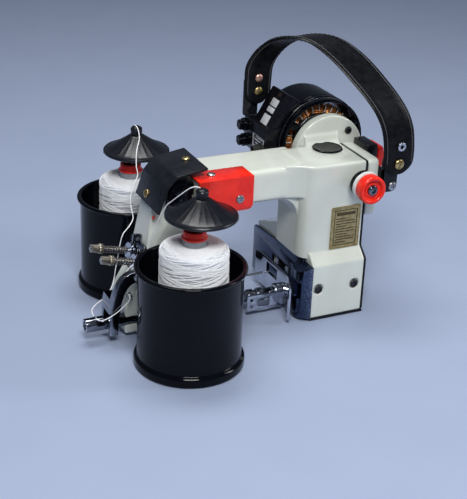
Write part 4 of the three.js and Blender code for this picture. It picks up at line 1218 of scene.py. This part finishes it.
def windings():
    """End turns of the stator: fat copper bundles laced side by side, on a steel core."""
    m = MOTOR
    y = m["y0"]
    core_r = m["r"] - m["wall"] - 0.4
    options = {"along": "y", "a": AXIS_X, "b": MOTOR_Z}
    core = [(27.4, y + 10), (core_r, y + 10), (core_r, y + 28), (27.4, y + 28)]
    piece("stator_core", lathe(rounded(core, 0.4, 2, True), sides=96, **options), STEEL)
    bundles = []
    poles = 12
    for k in range(poles):
        mid = 2 * math.pi * k / poles
        for layer in range(5):
            half = math.pi / poles * (1.25 - 0.07 * layer)
            line = []
            for j in range(25):
                t = j / 24
                w = mid + half * (2 * t - 1)
                lift = math.sin(math.pi * t)
                radius = 29.5 + 1.7 * layer + 0.9 * math.sin(3 * w)
                line.append((AXIS_X + radius * math.cos(w), y + 10.5 - 6 * lift + 0.4 * layer, MOTOR_Z
                             + radius * math.sin(w)))
            bundles.append(wire(line, 1.15, 8))
    lace = []
    for w in full_turn(28):
        c, s = math.cos(w), math.sin(w)
        loop = [(AXIS_X + (33 + 5 * math.cos(t)) * c, y + 7 + 3.2 * math.sin(t), MOTOR_Z
                 + (33 + 5 * math.cos(t)) * s)
                for t in full_turn(20)]
        lace.append(wire(loop, 0.45, 6, closed=True))
    piece("copper_end_turns", joined(*bundles), COPPER, stands_for=["stator_winding"], angle=60)
    piece("winding_lace", joined(*lace), COTTON, angle=60)


def front_bracket():
    """Black spider that centres the rotor and ties the motor to the flange."""
    m = MOTOR
    y = m["y0"]
    hub = rod("y", FLANGE["y1"] + GAP, y - GAP, AXIS_X, MOTOR_Z, 16, 1, 72)
    ring = lathe(rounded([(m["r"] - 4, y - 8), (m["r"] - 1, y - 8), (m["r"] - 1, y - 0.5),
                          (m["r"] - 4, y - 0.5)],
                         0.5, 2, True), along="y", a=AXIS_X, b=MOTOR_Z, sides=128)
    arms = []
    for turn in (0.35, 1.02, 1.68):
        w = turn * math.pi
        c = Vector((math.sin(w), math.cos(w)))
        n = Vector((-c.y, c.x)) * 4.5
        corners = [c * 8 + n, c * 45 + n * 0.8, c * 45 - n * 0.8, c * 8 - n]
        outline = rounded([(AXIS_X + p.x, MOTOR_Z + p.y) for p in corners], 1, 2, True)
        arms.append(slab(outline, "y", y - 8, y - 1.2, edge=0.6))
    bore = rod("y", 98, 115, AXIS_X, MOTOR_Z, 5.5, 0, 32)
    piece("black_motor_bracket", joined(carved(hub, bore), ring, *arms), GLOSS,
          stands_for=["motor_front_bracket"])


def rotor():
    """Shaft, laminations and commutator in one turned piece."""
    y = MOTOR["y1"] + 2
    profile = [(0, 66), (3, 66), (3, 79), (4.1, 79), (4.1, 84), (3, 84), (3, 118), (26.3, 118), (26.3, 146),
               (3, 146), (3, 150), (14, 150), (14, 158), (3, 158), (3, y), (0, y)]
    piece("laminated_rotor", turned(profile, 0.4, along="y", a=AXIS_X, b=MOTOR_Z, sides=96), STEEL,
          "rotor", ["motor_rotor"])


motor()
windings()
front_bracket()
rotor()


def terminal_box():
    """Slanted switch face over the square brush housing on the motor's left flank."""
    m = MOTOR
    tilt = Matrix.Translation((AXIS_X, 0, MOTOR_Z)) @ Matrix.Rotation(math.pi / 6, 4, "Y")
    upper = block(-57, -30, 116, 153, -26, 26, 1.6)
    upper.transform(tilt)
    lower = block(87, 112, 114, 166, 140, 173, 1.4)
    bore = rod("y", 110, 170, AXIS_X, MOTOR_Z, m["r"] + 0.3, 0, 96)
    piece("black_terminal_box", carved(fused(upper, lower), bore), MOULDED,
          stands_for=["terminal_box"])
    place = LAYOUT @ tilt
    marks = [block(-57.5, -56.8, 126, 139, low, high, 0.15) for low, high in ((8, 16), (1, 6.5), (-13, -2))]
    piece("pale_face_panels", joined(*marks), PALE_MARK, place=place)
    frame_line = slab([(119, 144), (143, 144), (143, 161), (119, 161)], "x", 86.5, 87.2,
                      holes=[[(119.8, 144.8), (142.2, 144.8), (142.2, 160.2), (119.8, 160.2)]], edge=0.1)
    rules = [block(86.6, 87.2, 122, 140 - 3 * (k % 2), 148 + 3.4 * k, 148.6 + 3.4 * k, 0.05)
             for k in range(4)]
    piece("rating_plate_border", joined(frame_line, *rules), PALE_MARK)
    for k, (y, z) in enumerate(((160.5, 164), (160.5, 147))):
        cap = turned([(0, 78), (4.6, 78), (5.5, 78.8), (5.5, 82.6), (6.8, 83), (6.8, 86.7), (0, 86.7)], 0.4,
                     along="x", a=y, b=z, sides=56)
        slot = block(77, 79.4, y - 6, y + 6, z - 0.7, z + 0.7, 0)
        piece(f"brush_cap_{k}", carved(cap, slot), GLOSS, stands_for=["brush_cap"] if k == 0
              else ())
        dot = rod("x", 78.6, 79.8, y, z, 1.5, 0.3, 24)
        piece(f"brush_cap_dot_{k}", dot, STEEL)


terminal_box()


def cord_gland():
    """Plain ribbed rubber gland."""
    profile = [(3.4, 76), (4.4, 76), (4.4, 84), (6.4, 84), (6.4, 86.7), (3.4, 86.7)]
    ribs = []
    for k in range(4):
        ribs += [(4.5, 76.4 + 1.9 * k), (4.5, 77.4 + 1.9 * k), (3.9, 77.6 + 1.9 * k), (3.9, 78.1 + 1.9 * k)]
    profile = [profile[0], (4.4, 76), *ribs, *profile[3:]]
    piece("rubber_cord_gland", lathe(profile, along="x", a=122, b=150, sides=56), RUBBER,
          stands_for=["cord_gland"])


cord_gland()


# ---------------------------------------------------------------- carrying strap
def strap_route():
    """Points (Y, Z) along the strap's middle, from the rear end to the front one."""
    knots = [(158, 186), (158, 198), (158, 211), (157, 226), (151, 240), (142, 252), (132, 260), (118, 265),
             (102, 266), (88, 261), (72, 250), (56, 235), (42, 220), (32, 206), (26, 191), (23.5, 174),
             (23, 160), (23, 146)]
    return spline_points([(*k, 0) for k in knots], 8)


def strap_x(y):
    """X of the strap's middle where it passes Y."""
    return STRAP["x0"] + (STRAP["y0"] - y) * STRAP["rise"]


def strap():
    """Two plies of leather, crowned across, round at the ends and stitched along both edges."""
    line = strap_route()
    spans = [0.0]
    for p, q in zip(line, line[1:]):
        spans.append(spans[-1] + (q - p).length)
    total = spans[-1]
    rows = []
    lanes = [-1, -0.985, -0.94, -0.86, -0.8, -0.74, -0.5, -0.25, 0, 0.25, 0.5, 0.74, 0.8, 0.86, 0.94, 0.985,
             1]
    groove = {0.8: 0.35}
    bm = bmesh.new()
    stitches = {1: [], -1: []}
    for i, p in enumerate(line):
        ahead = line[min(i + 1, len(line) - 1)] - line[max(i - 1, 0)]
        ahead.normalize()
        out = Vector((0, -ahead.y, ahead.x))  # away from the hand, as (X, Y, Z)
        d = spans[i]
        end = min(d, total - d)
        half = STRAP["w"] / 2 + 4 * math.sin(math.pi * d / total) ** 2 + 2.6 * (d / total) ** 2
        if end < 16:
            half *= math.sqrt(max(1 - (1 - end / 16) ** 2.2, 0.02))
        centre = Vector((strap_x(p.x), p.x, p.y))
        row = {1: [], -1: []}
        for side in (1, -1):
            for lane in lanes:
                edge = abs(lane)
                thick = STRAP["t"] / 2 * (1 - 0.85 * max(edge - 0.86, 0) / 0.14) - groove.get(edge, 0)
                crown = 0.5 * (1 - lane * lane)
                offset = side * thick + (crown if end > 14 else crown * end / 14)
                row[side].append(bm.verts.new(centre + Vector((lane * half, 0, 0)) + out * offset))
        rows.append(row)
        for sign in (1, -1):
            stitches[sign].append((centre + Vector((sign * 0.8 * half, 0, 0)), out, end))
    for low, high in zip(rows, rows[1:]):
        for side in (1, -1):
            for k in range(len(lanes) - 1):
                bm.faces.new((low[side][k], low[side][k + 1], high[side][k + 1], high[side][k]))
        for k in (0, -1):
            bm.faces.new((low[1][k], low[-1][k], high[-1][k], high[1][k]))
    for row in (rows[0], rows[-1]):
        for k in range(len(lanes) - 1):
            bm.faces.new((row[1][k], row[1][k + 1], row[-1][k + 1], row[-1][k]))
    piece("leather_strap", outward(bm), LEATHER, stands_for=["carry_strap"], angle=70)
    threads = []
    for sign in (1, -1):
        run = [s for s in stitches[sign] if s[2] > 10]
        for k in range(0, len(run) - 2, 2):
            for side in (1, -1):
                points = []
                for t in range(3):
                    middle, out, _ = run[k + t]
                    lift = STRAP["t"] / 2 + 0.15 + 0.2 * (t == 1) - 0.25 * (t != 1)
                    points.append(middle + out * (side * lift + 0.18))
                threads.append(wire(points, 0.42, 6))
    piece("strap_stitching", joined(*threads), STITCH, angle=60)


strap()


def strap_fittings():
    """Brackets, screws, eyelet and rivet at the two ends of the strap."""
    x_front = strap_x(STRAP["y1"])
    y0 = STRAP["y1"] + STRAP["t"] / 2 + GAP
    x0 = COVER_X[1] + GAP
    face = rounded([(x0, 127), (x_front + 2, 127), (x_front + 2, 165), (x0, 165)], 6, 5, True)
    plate = slab(face, "y", y0, y0 + 3, edge=0.5)
    flap = block(x0, x0 + 3, y0, 52, 127, 152, 0.5)
    piece("black_front_bracket", joined(plate, flap), SATIN,
          stands_for=["strap_bracket_front"])
    sy = STRAP["y1"] - STRAP["t"] / 2 - 0.5
    screw("strap_screw_brass", "y", sy, -1, x_front, 157, 5.2, BRASS, "slot", ["strap_screw_front"],
          turn=65, height=2.2)
    eyelet = lathe(rounded([(2, sy - 0.9), (4.4, sy - 0.9), (4.7, sy + 0.6), (2, sy + 0.6)], 0.3, 3, True),
                   along="y", a=x_front + 1, b=175, sides=48)
    piece("strap_eyelet", eyelet, CHROME)
    screw("bracket_round_screw", "y", y0, -1, 184, 133, 4.6, STEEL, "cross", turn=15)
    x_rear = strap_x(STRAP["y0"])
    ry = STRAP["y0"] + STRAP["t"] / 2 + GAP
    rear = [(x_rear - 14, 173.5), (x_rear + 2, 173.5), (x_rear + 2, 192), (x_rear + 14, 192),
            (x_rear + 14, 212), (x_rear - 14, 212)]
    piece("black_rear_bracket", slab(rounded(rear, 2, 3, True), "y", ry, ry + 3, edge=0.5), SATIN,
          stands_for=["strap_bracket_rear"])
    front_face = STRAP["y0"] - STRAP["t"] / 2 - 0.5
    screw("strap_screw_rear", "y", front_face, -1, x_rear, 200, 4.6, BRASS, "slot", turn=10,
          height=2)
    rivet = turned([(0, 0), (4.2, 0), (4.2, -0.9), (2.6, -1.9), (0, -2.2)], 0.5, along="y", a=x_rear, b=214,
                   sides=48)
    rivet.transform(Matrix.Translation((0, front_face, 0)))
    piece("strap_rivet", rivet, ROSE_RIVET)
    screw("strap_screw_rear_nut", "y", ry + 3, 1, x_rear, 200, 4.6, STEEL, "hex", height=2.4)


strap_fittings()


def grip_switch():
    """Switch case on the end cover and its red paddle."""
    case = block(COVER_X[1] + GAP, 184, 56, 84, 128, 166, 1.6)
    piece("black_switch_case", case, MOULDED, stands_for=["grip_switch"])
    paddle = [(185, 130), (189, 130), (195, 150), (192, 162), (187, 162)]
    body = slab(rounded(paddle, 2, 4, True), "y", 59, 81, edge=0.9)
    pin = rod("y", 59, 81, 187, 131, 3, 0.3, 40)
    piece("red_switch_paddle", joined(body, pin), RED_PLASTIC, "trigger", ["switch_trigger"])


grip_switch()


# ---------------------------------------------------------------- studio
def studio():
    """Plain pale floor, three soft lamps and an even sky."""
    size = 4.0
    bm = bmesh.new()
    corners = [bm.verts.new((x, y, -0.0004)) for x,
               y in ((-size, -size), (size, -size), (size, size), (-size, size))]
    bm.faces.new(corners)
    mesh = bpy.data.meshes.new("studio_floor")
    bm.to_mesh(mesh)
    bm.free()
    paper = Finish("pale_floor", (0.305, 0.36, 0.495), (0.315, 0.37, 0.505), (0.75, 0.85), patch=90)
    mesh.materials.append(paper.grain(1.2, 3, 0.02, 0.2).material)
    floor = bpy.data.objects.new("studio_floor", mesh)
    bpy.context.collection.objects.link(floor)

    def lamp(name, place, size_m, power):
        data = bpy.data.lights.new(name, "AREA")
        data.shape = "RECTANGLE"
        data.size, data.size_y = size_m
        data.energy = power
        obj = bpy.data.objects.new(name, data)
        bpy.context.collection.objects.link(obj)
        aim = Vector((0, 0, 0.1)) - Vector(place)
        obj.matrix_world = Matrix.Translation(place) @ aim.to_track_quat("-Z", "Y").to_matrix().to_4x4()

    lamp("key_light", (-0.35, -1.0, 1.25), (0.6, 0.4), 19)
    lamp("side_light", (1.3, -0.6, 0.8), (0.3, 0.8), 7)
    lamp("top_light", (0.0, 0.35, 1.5), (0.9, 0.5), 13)
    world = bpy.data.worlds.new("studio")
    world.use_nodes = True
    sky = world.node_tree.nodes["Background"]
    sky.inputs["Color"].default_value = (0.50, 0.58, 0.75, 1)
    sky.inputs["Strength"].default_value = 0.22
    bpy.context.scene.world = world
    bpy.context.scene.view_settings.view_transform = "Standard"


studio()
